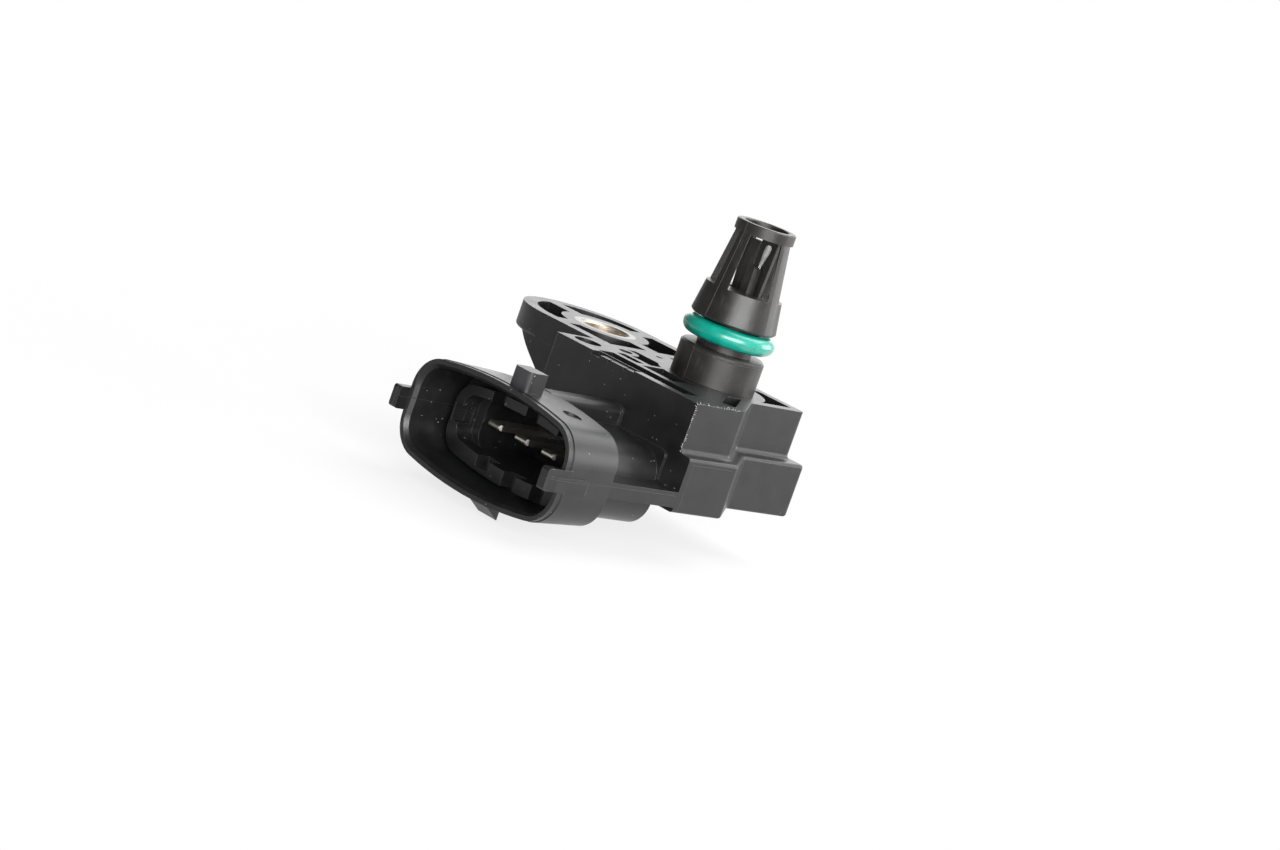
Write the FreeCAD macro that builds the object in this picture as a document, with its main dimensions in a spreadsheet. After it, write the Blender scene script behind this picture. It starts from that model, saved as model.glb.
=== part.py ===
"""Manifold absolute pressure and temperature sensor, in millimetres.

The frame: the origin is where the axis of the pressure port meets the top of the flange, which
is the face that seats on the intake manifold. +Z runs along the port to its open tip, the screw
bush lies on -X, and the mouth of the electrical connector looks along -Y.

Every driving size is a cell of the sheet "sizes". A formula is written with the names of cells.
"""
import FreeCAD, Part
import Sketcher
import math
import os
import re
from FreeCAD import Placement, Rotation, Vector

DOC = FreeCAD.newDocument("pressure_sensor")
SHEET = DOC.addObject("Spreadsheet::Sheet", "sizes")
NODES = {}

SIZES = (
    # The flange and the screw bush
    ("bush_offset", 21.8, "from the port axis to the screw axis"),
    ("flange_radius", 10.4, "round end of the flange, and half its breadth"),
    ("end_place", 24.0, "from the port axis to the middle of the round end"),
    ("flange_thick", 3.6, "flange plate"),
    ("flange_round", 0.4, "rounding under the flange's round end"),
    ("rim_wall", 2.0, "wall round the flange pockets"),
    ("rib_wide", 2.4, "ribs from the bush boss to the rim"),
    ("boss_radius", 6.4, "plastic boss round the bush"),
    ("kidney_depth", 2.6, "pockets in the round end"),
    ("flange_pocket_depth", 5.0, "pockets between the boss and the cross rib"),
    ("cross_rib_place", 12.0, "left face of the cross rib, from the port axis"),
    ("gusset_depth", 7.6, "underside of the bush boss"),
    ("gusset_inset", 0.2, "the wall below the flange is this far inside its edge"),
    ("gusset_reach", 5.7, "where the sloping underside starts, from the screw axis"),
    ("bush_outer_radius", 4.5, "metal bush"),
    ("bush_inner_radius", 3.25, "metal bush bore, for an M6 screw"),
    ("bush_chamfer", 0.35, "lead-in at both ends of the bush"),
    # The body below and beside the flange
    ("block_left", 13.5, "left side of the electronics block"),
    ("front_face", 17.4, "face that carries the connector, from the port axis"),
    ("upper_right", 14.3, "right side of the block's upper tier"),
    ("shoulder_near", 8.0, "end of the right side, nearer the connector"),
    ("shoulder_far", 0.8, "start of the narrower right end"),
    ("wall_right", 8.6, "right end beside the port"),
    ("ledge_depth", 6.8, "ledge between the two tiers"),
    ("lower_step", 2.1, "lower tier beyond the upper one, on the right"),
    ("lower_left_step", 2.0, "lower tier beyond the upper one, on the left"),
    ("lower_back_step", 1.4, "lower tier beyond the upper one, at the back"),
    ("edge_round", 0.45, "outer edges of both tiers"),
    ("ledge_round", 0.7, "hollow rounding along the ledge"),
    # The deck inside the rim
    ("deck_pocket_depth", 3.6, "weight-saving pockets beside the port"),
    ("deck_wall", 1.5, "walls round those pockets"),
    ("port_boss_radius", 7.6, "boss under the port"),
    ("slot_depth", 4.4, "long slot behind the connector face"),
    ("slot_near", 15.7, "near side of the slot"),
    ("slot_far", 12.8, "far side of the slot"),
    ("slot_left", 6.9, "left end of the slot"),
    ("slot_right", 10.0, "right end of the slot"),
    ("land_hole_radius", 1.9, "blind hole in the block's corner land"),
    ("land_hole_depth", 3.0, "its depth"),
    ("land_hole_x", 11.0, "its place"),
    ("land_hole_y", 13.8, "its place"),
    ("ring_boss_radius", 1.9, "small ring boss in the near pocket"),
    ("ring_hole_radius", 1.0, "its hole"),
    ("ring_boss_x", 9.0, "its place"),
    ("ring_boss_y", 8.3, "its place"),
    ("edge_drop", 0.2, "lowered stretch of the front edge"),
    ("edge_gap_depth", 0.6, "gaps in that stretch"),
    # The connector
    ("socket_x", 1.4, "middle of the connector"),
    ("socket_rise", 0.8, "middle of the connector, above the cover"),
    ("shroud_back", 30.0, "back of the shroud, from the port axis"),
    ("shroud_front", 39.3, "rim of the shroud"),
    ("shroud_half_wide", 15.45, "half the width of the rim"),
    ("shroud_half_tall", 7.8, "half the height of the rim"),
    ("shroud_draft", 0.4, "the back is this much smaller all round"),
    ("shroud_crown", 65.0, "radius of the arched top and bottom"),
    ("shroud_corner", 4.8, "corner radius"),
    ("shroud_wall", 1.2, "wall"),
    ("mouth_bevel", 0.45, "lead-in round the mouth"),
    ("shroud_floor", 1.3, "wall that closes the shroud round the neck"),
    ("lip_long", 1.0, "stepped lip at the rim"),
    ("lip_step", 0.12, "its step"),
    ("neck_half_wide", 10.7, "half the width of the neck"),
    ("neck_half_tall", 4.85, "half its height"),
    ("neck_corner", 3.6, "its corner radius"),
    ("neck_foot", 18.6, "where the deep part of the neck ends"),
    ("neck_foot_round", 2.6, "rounding of its underside there"),
    ("neck_low_wide", 12.2, "half the width of the neck below the web"),
    ("neck_low_tall", 6.3, "its depth below the connector's middle"),
    ("neck_low_corner", 4.0, "its corner radius"),
    ("collar_half_wide", 12.6, "half the width of the inner collar"),
    ("collar_half_tall", 5.5, "half its height"),
    ("collar_drop", 0.35, "its middle, below the connector's"),
    ("collar_corner", 3.2, "its corner radius"),
    ("collar_reach", 2.2, "it stands this far out of the shroud's floor"),
    ("socket_half_wide", 10.95, "half the width of the terminal chamber"),
    ("socket_half_tall", 3.85, "half its height"),
    ("socket_corner", 1.8, "its corner radius"),
    ("socket_floor", 20.5, "floor of the terminal chamber, from the port axis"),
    ("socket_step", 0.6, "its wide part ends this far in front of the shroud's back"),
    ("neck_wall", 1.2, "wall of the neck beside its deep part"),
    ("notch_wide", 2.35, "notches in the collar"),
    ("tab_reach", 2.8, "guide tabs ahead of the rim"),
    ("tab_thick", 1.3, "their thickness"),
    ("tab_rise", 1.6, "their top, above the connector's middle"),
    ("tab_fall", 1.4, "their bottom, below it"),
    ("tab_round", 0.4, "their rounded corners"),
    ("tab_rib_proud", 0.35, "rib on the outside of a tab"),
    ("tab_rib_rise", 0.6, "its top, above the connector's middle"),
    ("tab_rib_back", 34.7, "its back end"),
    ("web_rise", 0.8, "web beside the neck, above the connector's middle"),
    ("web_fall", 1.3, "its underside, below it"),
    ("spine_half_wide", 1.8, "rounded spine on top of the neck"),
    ("spine_shift", 0.65, "its middle, left of the connector's"),
    ("spine_top", 4.8, "its top"),
    ("pad_thick", 0.35, "raised pads where the neck meets the face"),
    ("stub_left", 1.35, "upright stub on the shroud"),
    ("stub_wide", 3.55, "its width"),
    ("stub_long", 3.0, "its length"),
    ("stub_front", 38.3, "its front"),
    ("stub_top", 1.95, "its top"),
    ("catch_left", 2.5, "latch ramp under the shroud"),
    ("catch_wide", 3.6, "its width"),
    ("catch_long", 2.3, "its length"),
    ("catch_deep", 1.4, "its height"),
    ("gate_radius", 1.3, "round dimple on the shroud"),
    # The terminals
    ("terminal_pitch", 5.35, "between terminals"),
    ("blade_wide", 2.6, "blade"),
    ("blade_thick", 0.8, "blade"),
    ("blade_tip", 30.0, "tips, from the port axis"),
    ("blade_chamfer", 0.25, "pointing of the tip"),
    ("leg_wide", 1.0, "leg that rises through the board"),
    ("leg_place", 11.6, "its middle, from the port axis"),
    ("leg_over", 0.6, "it stands this far above the board"),
    # The chamber for the electronics
    ("cavity_left", 10.7, "left wall"),
    ("cavity_right", 6.7, "right wall under the port"),
    ("cavity_front", 13.7, "wall behind the connector"),
    ("cavity_back", 7.2, "back wall"),
    ("bay_right", 12.4, "right wall of the front bay"),
    ("bay_back", 8.8, "back wall of the front bay"),
    ("ceiling_depth", 5.6, "roof"),
    ("room_above", 3.4, "from the roof to the shelf that the board lies against"),
    ("room_below", 3.1, "from the board to the cover"),
    ("shelf_wide", 1.2, "its width"),
    ("cover_thick", 1.2, "bottom cover"),
    ("cover_lip", 1.4, "ledge under the cover's edge"),
    ("cover_gap", 0.1, "round the cover"),
    ("bead_wide", 0.6, "adhesive bead under the cover"),
    ("bead_deep", 0.3, "its groove"),
    # The board and what it carries
    ("board_thick", 1.0, "ceramic board"),
    ("board_gap", 0.15, "round the board"),
    ("seal_wall", 0.8, "chamber seal"),
    ("seal_half_wide", 3.6, "half its width"),
    ("seal_near", 6.8, "its near side"),
    ("seal_far", 2.7, "its far side"),
    ("cell_place", 3.5, "middle of the sensor cell, from the port axis"),
    ("cell_half", 2.1, "half the side of the cell's frame"),
    ("cell_wall", 0.6, "its wall"),
    ("cell_tall", 1.9, "its height"),
    ("glass_half", 0.95, "half the side of the glass pedestal"),
    ("glass_tall", 0.7, "its height"),
    ("die_tall", 0.4, "silicon pressure die"),
    ("gel_tall", 1.5, "protective gel, above the board"),
    ("chip_half", 2.2, "half the side of the signal chip"),
    ("chip_tall", 0.9, "its height"),
    ("chip_x", 5.5, "its place"),
    ("chip_y", 5.0, "its place"),
    ("capacitor_long", 2.0, "chip capacitors"),
    ("capacitor_wide", 1.25, "their width"),
    ("capacitor_tall", 0.8, "their height"),
    ("capacitor_pitch", 3.2, "between them"),
    ("joint_radius", 1.05, "solder joints"),
    ("joint_tall", 0.55, "their height"),
    # The pressure port
    ("port_clock", 5.0, "turn of the cage about its axis, in degrees"),
    ("spigot_radius", 5.9, "lower collar"),
    ("spigot_top", 4.7, "top of the lower collar"),
    ("groove_radius", 3.85, "bottom of the seal groove"),
    ("groove_top", 8.5, "top of the seal groove"),
    ("pilot_radius", 6.0, "upper collar at its foot, where the cone starts"),
    ("collar_chamfer", 0.3, "chamfers on the collars"),
    ("window_foot", 13.05, "sills of the windows"),
    ("tip_ring_tall", 1.5, "ring at the tip, above the heads of the windows"),
    ("window_angle", 64.0, "windows, in degrees"),
    ("tip_ring_radius", 4.15, "ring at the tip"),
    ("tip_height", 22.3, "open tip"),
    ("tip_chamfer", 0.15, "edges of the ring"),
    ("cage_bore_head", 3.1, "bore of the cage at the tip"),
    ("cage_bore_foot", 2.6, "bore of the cage at its foot"),
    ("seat_place", 12.0, "step that the thermistor carrier stands on"),
    ("port_bore_radius", 1.9, "bore below the cage"),
    ("tube_radius", 2.7, "tube of the port, through the deck"),
    ("ring_radius", 5.15, "seal ring, to the middle of its section"),
    ("ring_section", 1.3, "radius of its section"),
    ("ring_place", 6.95, "height of its middle"),
    ("glue_inner", 3.6, "adhesive ring under the port"),
    ("glue_outer", 4.8, "adhesive ring under the port"),
    ("glue_deep", 0.5, "its groove"),
    # The thermistor in the cage
    ("carrier_thick", 1.0, "foot of the carrier"),
    ("carrier_wide", 3.2, "its width"),
    ("carrier_gap", 0.05, "between the carrier and the bore"),
    ("wall_back", 0.7, "far face of the wall across the bore"),
    ("wall_thick", 0.6, "its thickness"),
    ("wall_drop", 1.4, "its top, below the tip"),
    ("wall_notch_left", 1.8, "notch in its top, left end"),
    ("wall_notch_right", 0.05, "notch in its top, right end"),
    ("wall_notch_deep", 0.8, "depth of the notch"),
    ("wall_rib_proud", 0.25, "raised panel under the notch"),
    ("stem_left", 0.5, "stem in front of the wall, left side"),
    ("stem_wide", 1.35, "its width"),
    ("stem_back", 0.26, "its far side, from the port axis"),
    ("stem_deep", 1.36, "its depth"),
    ("stem_drop", 5.5, "its top, below the port's tip"),
    ("stem_chamfer", 0.25, "its bevelled top edge"),
    ("lead_radius", 0.08, "thermistor leads"),
    ("lead_place", 1.55, "middle of the pair, along X"),
    ("lead_row", 0.45, "both leads, along Y"),
    ("lead_spread", 0.26, "between them"),
    ("drop_radius", 0.46, "thermistor drop"),
    ("drop_foot_radius", 0.22, "its lower end"),
    ("drop_rise", 0.35, "its lower end, above the stem"),
    ("drop_long", 3.0, "its length"),
    ("drop_lean", 9.0, "its lean, in degrees"),
)

# Places that follow from several sizes, as formulas

SHELF = "(ceiling_depth + room_above)"
BASE = "(ceiling_depth + room_above + board_thick + room_below + cover_thick)"
SOCKET = "(ceiling_depth + room_above + board_thick + room_below - socket_rise)"
WINDOW_HEAD = "(tip_height - tip_ring_tall)"
WALL_TOP = "(tip_height - wall_drop)"
NOTCH_FLOOR = "(tip_height - wall_drop - wall_notch_deep)"
STEM_TOP = "(tip_height - stem_drop)"
DROP_FOOT = "(tip_height - stem_drop + drop_rise)"


def fill_sheet():
    """Writes each size with its name and what it is."""
    for row, (name, value, note) in enumerate(SIZES, start=1):
        SHEET.set(f"A{row}", name)
        SHEET.set(f"B{row}", str(value))
        SHEET.setAlias(f"B{row}", name)
        SHEET.set(f"C{row}", note)
    DOC.recompute()


def size(name):
    """The value of a cell."""
    return float(SHEET.get(name))


def value(text):
    """The value of a formula that only adds and takes away sizes."""
    terms = re.findall(r"([+-]?)\s*([a-z]+(?:_[a-z0-9]+)+)", text)
    return sum(-size(name) if sign == "-" else size(name) for sign, name in terms)


def formula(text):
    """Turns the names of cells in a formula into references to them."""
    return re.sub(r"[a-z]+(?:_[a-z0-9]+)+", lambda word: "sizes." + word.group(0), str(text))


def bind(item, **links):
    """Binds properties to formulas. x, y and z stand for the place."""
    for key, text in links.items():
        path = f"Placement.Base.{key}" if key in ("x", "y", "z") else key
        item.setExpression(path, formula(text))
    return item


# Simple solids


def box(name, x, y, z):
    """A box between two planes along each axis."""
    item = DOC.addObject("Part::Box", name)
    for axis, length, (low, high) in (("x", "Length", x), ("y", "Width", y), ("z", "Height", z)):
        bind(item, **{axis: low, length: f"({high}) - ({low})"})
    return item


def cylinder(name, radius, z, x="0", y="0"):
    """An upright cylinder between two heights."""
    low, high = z
    item = DOC.addObject("Part::Cylinder", name)
    return bind(item, Radius=radius, Height=f"({high}) - ({low})", x=x, y=y, z=low)


def cone(name, foot, head, z, x="0", y="0"):
    """An upright cone between two heights."""
    low, high = z
    item = DOC.addObject("Part::Cone", name)
    return bind(item, Radius1=foot, Radius2=head, Height=f"({high}) - ({low})", x=x, y=y, z=low)


TURNS = {
    "XY": Rotation(),
    "XZ": Rotation(Vector(1, 0, 0), 90),
    "YZ": Rotation(Vector(1, 1, 1), 120),
}


def outline(name, plane, corners):
    """A closed sketch of straight edges. Each corner is bound by two formulas."""
    sketch = DOC.addObject("Sketcher::SketchObject", name)
    sketch.Placement = Placement(Vector(), TURNS[plane])
    count = len(corners)
    spots = [Vector(math.cos(2 * math.pi * i / count), math.sin(2 * math.pi * i / count), 0)
             for i in range(count)]
    for i in range(count):
        sketch.addGeometry(Part.LineSegment(spots[i], spots[(i + 1) % count]), False)
    for i in range(count):
        sketch.addConstraint(Sketcher.Constraint("Coincident", i, 2, (i + 1) % count, 1))
    for i, (across, along) in enumerate(corners):
        for kind, place, text in (("DistanceX", spots[i].x, across), ("DistanceY", spots[i].y, along)):
            index = sketch.addConstraint(Sketcher.Constraint(kind, -1, 1, i, 1, place))
            sketch.setExpression(f"Constraints[{index}]", formula(text))
    return sketch


def prism(name, plane, corners, span):
    """The outline, extruded between two planes."""
    low, high = span
    sketch = outline(f"{name}_outline", plane, corners)
    axis = {"XY": "z", "XZ": "y", "YZ": "x"}[plane]
    bind(sketch, **{axis: low})
    item = DOC.addObject("Part::Extrusion", name)
    item.Base = sketch
    item.DirMode = "Custom"
    item.Dir = {"XY": Vector(0, 0, 1), "XZ": Vector(0, 1, 0), "YZ": Vector(1, 0, 0)}[plane]
    item.Solid = True
    bind(item, LengthFwd=f"({high}) - ({low})")
    return item


def revolve(name, corners):
    """The outline in the XZ plane, turned about the Z axis."""
    sketch = outline(f"{name}_outline", "XZ", corners)
    item = DOC.addObject("Part::Revolution", name)
    item.Source = sketch
    item.Axis = Vector(0, 0, 1)
    item.Base = Vector(0, 0, 0)
    item.Angle = 360
    item.Solid = True
    return item


def fuse(name, *items):
    """Several solids as one."""
    item = DOC.addObject("Part::MultiFuse", name)
    item.Shapes = list(items)
    item.Refine = True
    return item


def cut(name, base, *tools):
    """The base without the tools."""
    item = DOC.addObject("Part::Cut", name)
    item.Base = base
    item.Tool = tools[0] if len(tools) == 1 else fuse(f"{name}_tools", *tools)
    item.Refine = True
    return item


def common(name, *items):
    """What the solids share."""
    item = DOC.addObject("Part::MultiCommon", name)
    item.Shapes = list(items)
    return item


def soften(name, base, radius, wanted, kind="Part::Fillet"):
    """Rounds or chamfers the edges of the base that the test wants."""
    DOC.recompute()
    item = DOC.addObject(kind, name)
    item.Base = base
    numbers = [i for i, edge in enumerate(base.Shape.Edges, start=1) if wanted(edge)]
    item.Edges = [(i, radius, radius) for i in numbers]
    return item


def solid(name, shape):
    """A solid that the functions of Part have made."""
    item = DOC.addObject("Part::Feature", name)
    item.Shape = shape
    return item


def node(name, item):
    """Marks a finished piece of the sensor."""
    item.Label = name
    NODES[name] = item
    return item


def upright(edge):
    """Whether an edge runs along Z."""
    ends = [vertex.Point for vertex in edge.Vertexes]
    if len(ends) < 2:
        return False
    return abs(ends[0].x - ends[1].x) < 1e-6 and abs(ends[0].y - ends[1].y) < 1e-6


def level(edge, z):
    """Whether an edge lies at a height."""
    bounds = edge.BoundBox
    return abs(bounds.ZMin - z) < 1e-6 and abs(bounds.ZMax - z) < 1e-6


# Rounded outlines of the connector


def crowned_wire(y, half_wide, half_tall, corner, crown, drop):
    """A rounded outline round the connector's middle, with arched top and bottom."""
    middle = Vector(size("socket_x"), y, -value(SOCKET) - drop)

    def spot(across, up):
        return middle + Vector(across, 0, up)

    corner_x = half_wide - corner
    arch_z = half_tall - crown
    corner_z = arch_z + math.sqrt((crown - corner) ** 2 - corner_x ** 2)
    reach = crown / (crown - corner)
    tip = (corner_x * reach, arch_z + (corner_z - arch_z) * reach)
    bend = math.atan2(corner_z - arch_z, corner_x) / 2
    mid = (corner_x + corner * math.cos(bend), corner_z + corner * math.sin(bend))

    def turned(point, left, down):
        return spot(-point[0] if left else point[0], -point[1] if down else point[1])

    side = (half_wide, corner_z)
    top, foot = spot(0, half_tall), spot(0, -half_tall)
    edges = [
        Part.Arc(turned(tip, True, False), top, turned(tip, False, False)),
        Part.Arc(turned(tip, False, False), turned(mid, False, False), turned(side, False, False)),
        Part.LineSegment(turned(side, False, False), turned(side, False, True)),
        Part.Arc(turned(side, False, True), turned(mid, False, True), turned(tip, False, True)),
        Part.Arc(turned(tip, False, True), foot, turned(tip, True, True)),
        Part.Arc(turned(tip, True, True), turned(mid, True, True), turned(side, True, True)),
        Part.LineSegment(turned(side, True, True), turned(side, True, False)),
        Part.Arc(turned(side, True, False), turned(mid, True, False), turned(tip, True, False)),
    ]
    return Part.Wire([edge.toShape() for edge in edges])


def crowned_loft(name, *sections, drop=0):
    """A solid through rounded outlines. A section is y, half width, half height and corner."""
    wires = [crowned_wire(-y, wide, tall, corner, size("shroud_crown"), drop)
             for y, wide, tall, corner in sections]
    return solid(name, Part.makeLoft(wires, True, True))


# The housing


def body_outline(step_right, step_back, left):
    """The plan of a tier of the body, clockwise from its left front corner."""
    right = f"upper_right + {step_right}"
    end = f"wall_right + {step_right}"
    back = f"flange_radius + {step_back}"
    return [
        (left, "-front_face"),
        (right, "-front_face"),
        (right, "-shoulder_near"),
        (end, "-shoulder_far"),
        (end, back),
        (left, back),
    ]


def body_tiers():
    """The two tiers of the electronics block, with the ledge between them."""
    upper = prism("upper_tier", "XY", body_outline("0", "0", "-block_left"), ("-ledge_depth", "0"))
    lower_plan = body_outline("lower_step", "lower_back_step", "-block_left - lower_left_step")
    lower = prism("lower_tier", "XY", lower_plan, (f"-{BASE}", "-ledge_depth"))
    front = -size("front_face")

    def right_corner(edge):
        return upright(edge) and edge.BoundBox.Center.y > front + 1 and edge.BoundBox.Center.x > 0

    upper = soften("upper_corners", upper, 2 * size("edge_round"), right_corner)
    lower = soften("lower_corners", lower, 2 * size("edge_round"),
                   lambda edge: upright(edge) and edge.BoundBox.Center.y > front + 1)

    def outer_rim(edge):
        return (level(edge, -size("ledge_depth")) or level(edge, -value(BASE))) and \
            edge.BoundBox.Center.y > front + 0.01

    lower = soften("lower_edges", lower, size("edge_round"), outer_rim)
    tiers = fuse("tiers", upper, lower)
    ledge = -size("ledge_depth")
    return soften("tiers_ledge", tiers, size("ledge_round"), lambda edge: on_upper_foot(edge, ledge))


def on_upper_foot(edge, ledge):
    """Whether an edge is where the upper tier's right or back wall meets the ledge."""
    if not level(edge, ledge):
        return False
    middle = edge.valueAt((edge.FirstParameter + edge.LastParameter) / 2)
    in_front = middle.y < -size("front_face") + 0.01
    too_far_right = middle.x > size("upper_right") + 0.01
    beside_port = middle.y > -size("shoulder_far") and middle.x > size("wall_right") + 0.01
    on_left = middle.x < -size("block_left") + 0.01
    behind = middle.y > size("flange_radius") + 0.01
    return not (in_front or too_far_right or beside_port or on_left or behind)


def flange_solids():
    """The flange plate, its round end and what is under it."""
    round_end = cylinder("flange_end", "flange_radius", ("-flange_thick", "0"), x="-end_place")
    round_end = soften("flange_end_round", round_end, size("flange_round"),
                       lambda edge: level(edge, -size("flange_thick")))
    plate = box("flange_plate", ("-end_place", "-block_left + 1"),
                ("-flange_radius", "flange_radius"), ("-flange_thick", "0"))
    slope = prism("gusset_slope", "XZ", [
        ("-bush_offset - gusset_reach", "-flange_thick + 0.5"),
        ("-bush_offset - gusset_reach", "-flange_thick"),
        ("-bush_offset - 0.1", "-gusset_depth"),
        ("-block_left + 1", "-gusset_depth"),
        ("-block_left + 1", "-flange_thick + 0.5"),
    ], ("-flange_radius", "flange_radius"))
    wall = fuse("gusset_plan",
                cylinder("gusset_end", "flange_radius - gusset_inset", ("-gusset_depth", "0"),
                         x="-end_place"),
                box("gusset_side", ("-end_place", "-block_left + 1"),
                    ("-flange_radius + gusset_inset", "flange_radius - gusset_inset"),
                    ("-gusset_depth", "0")))
    boss = cylinder("bush_boss", "boss_radius", ("-gusset_depth", "0"), x="-bush_offset")
    return [round_end, plate, common("gusset", slope, wall), boss]


def flange_pockets():
    """The deep pockets between the bush boss, its four ribs and the rim."""
    boss = cylinder("boss_clear", "boss_radius", ("-flange_thick", "1"), x="-bush_offset")
    ring = cylinder("kidney_ring", "flange_radius - rim_wall", ("-kidney_depth", "1"),
                    x="-end_place")
    rib_along = box("rib_along", ("-end_place - flange_radius", "-bush_offset"),
                    ("-rib_wide / 2", "rib_wide / 2"), ("-flange_thick", "1"))
    right_half = box("kidney_limit", ("-bush_offset - rib_wide / 2", "-bush_offset + flange_radius"),
                     ("-flange_radius", "flange_radius"), ("-flange_thick", "1"))
    kidneys = cut("kidneys", ring, boss, rib_along, right_half)
    pockets = [kidneys]
    deep_boss = cylinder("boss_clear_deep", "boss_radius", ("-gusset_depth", "1"), x="-bush_offset")
    for side, low, high in (("near", "-flange_radius + rim_wall", "-rib_wide / 2"),
                            ("far", "rib_wide / 2", "flange_radius - rim_wall")):
        room = box(f"flange_room_{side}", ("-bush_offset + rib_wide / 2", "-cross_rib_place"),
                   (low, high), ("-flange_pocket_depth", "1"))
        pockets.append(cut(f"flange_pocket_{side}", room, deep_boss))
    return pockets


def deck_pockets():
    """The pockets, holes and slot in the deck round the port."""
    boss = cylinder("port_boss_clear", "port_boss_radius", ("-ledge_depth", "1"))
    small_boss = cylinder("ring_boss_clear", "ring_boss_radius", ("-ledge_depth", "1"),
                          x="-ring_boss_x", y="-ring_boss_y")
    depth = ("-deck_pocket_depth", "1")
    left = "-cross_rib_place + deck_wall + 0.3"
    near_left = box("near_left_room", (left, "-3.2"), ("-9.0", "-5.2"), depth)
    near_slit = box("near_slit_room", ("-7.4", "-3.4"), ("-11.6", "-10.1"), depth)
    near_middle = box("near_middle_room", ("-2.4", "3.8"), ("-11.6", "-7.0"), depth)
    inner_end = "wall_right - deck_wall"
    inner_back = "flange_radius - deck_wall"
    far_right = box("far_right_room", ("0.6", inner_end), ("1.6", inner_back), depth)
    far_left = box("far_left_room", (left, "-0.6"), ("1.6", inner_back), depth)
    slanted = prism("shoulder_room", "XY", [
        ("wall_right - 1.3", "-shoulder_far - 0.7"),
        ("upper_right - 1.6", "-shoulder_near - 0.3"),
        ("upper_right - 3.1", "-shoulder_near - 1.4"),
        ("wall_right - 2.2", "-shoulder_far - 2.6"),
    ], depth)
    pockets = [
        cut("near_left_pocket", near_left, boss, small_boss),
        near_slit,
        cut("near_middle_pocket", near_middle, boss),
        cut("far_right_pocket", far_right, boss),
        cut("far_left_pocket", far_left, boss),
        cut("shoulder_pocket", slanted, boss),
        box("long_slot", ("-slot_left", "slot_right"), ("-slot_near", "-slot_far"),
            ("-slot_depth", "1")),
        cylinder("land_hole", "land_hole_radius", ("-land_hole_depth", "1"),
                 x="-land_hole_x", y="-land_hole_y"),
        cylinder("ring_hole", "ring_hole_radius", ("-2.2", "1"), x="-ring_boss_x", y="-ring_boss_y"),
        cylinder("web_dimple", "0.5", ("-0.5", "1"), x="-9.3", y="-1.3"),
    ]
    return pockets + front_edge_cuts()


def front_edge_cuts():
    """The lowered stretch of the front edge, with its three steps."""
    rows = [box("edge_drop_cut", ("-slot_left + 0.6", "2.0"), ("-front_face - 1", "-slot_near - 0.2"),
                ("-edge_drop", "1"))]
    for i, (low, high) in enumerate((("-6.3", "-4.7"), ("-3.0", "-2.7"), ("0.1", "0.4"))):
        rows.append(box(f"edge_gap_{i + 1}", (low, high), ("-front_face - 1", "-slot_near - 0.2"),
                        ("-edge_gap_depth", "1")))
    return rows


def connector_solids():
    """The neck, the shroud with its guides, and the webs and pads that tie them to the face."""
    front, back = size("shroud_front"), size("shroud_back")
    lip = front - size("lip_long")
    wide, tall, corner = (size(n) for n in ("shroud_half_wide", "shroud_half_tall", "shroud_corner"))
    draft, step = size("shroud_draft"), size("lip_step")
    slope = draft / (front - back)
    at_lip = slope * (front - lip)
    shroud = crowned_loft("shroud_shell",
                          (back, wide - draft, tall - draft, corner - draft),
                          (lip, wide - at_lip, tall - at_lip, corner - at_lip))
    lip_ring = crowned_loft("shroud_lip",
                            (lip - 0.2, wide - at_lip - step, tall - at_lip - step, corner - step),
                            (front, wide - step, tall - step, corner - step))
    neck_plan = crowned_loft("neck_plan",
                             (size("front_face") - 1, size("neck_half_wide"),
                              size("neck_half_tall"), size("neck_corner")),
                             (back + 0.5, size("neck_half_wide"), size("neck_half_tall"),
                              size("neck_corner")))
    foot_box = box("neck_deep_part", ("socket_x - 20", "socket_x + 20"),
                   ("-shroud_back - 0.5", "-neck_foot"), (f"-{SOCKET} - 8", f"-{SOCKET} + 8"))
    foot_low = -value(SOCKET) - size("neck_half_tall")
    bind(foot_box, z=f"-{SOCKET} - neck_half_tall", Height="2 * neck_half_tall")
    foot = -size("neck_foot")
    rounded = soften("neck_deep_round", foot_box, size("neck_foot_round"),
                     lambda edge: level(edge, foot_low) and abs(edge.BoundBox.YMin - foot) < 1e-6
                     and abs(edge.BoundBox.YMax - foot) < 1e-6)
    root = box("neck_root_part", ("socket_x - 20", "socket_x + 20"),
               ("-neck_foot - 0.1", "-front_face + 0.5"), (f"-{BASE}", f"-{SOCKET} + 8"))
    low_plan = crowned_loft("neck_low_plan",
                            (size("neck_foot"), size("neck_low_wide"), size("neck_low_tall"),
                             size("neck_low_corner")),
                            (back + 0.5, size("neck_low_wide"), size("neck_low_tall"),
                             size("neck_low_corner")))
    low_box = box("neck_low_part", ("socket_x - 20", "socket_x + 20"), ("-shroud_back - 0.5", "-neck_foot"),
                  (f"-{SOCKET} - neck_low_tall - 1", f"-{SOCKET} - web_fall + 0.1"))
    neck = [common("neck_deep", neck_plan, rounded), common("neck_root", neck_plan, root),
            common("neck_low", low_plan, low_box)]
    return neck + [shroud, lip_ring] + face_webs() + guides()


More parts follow.
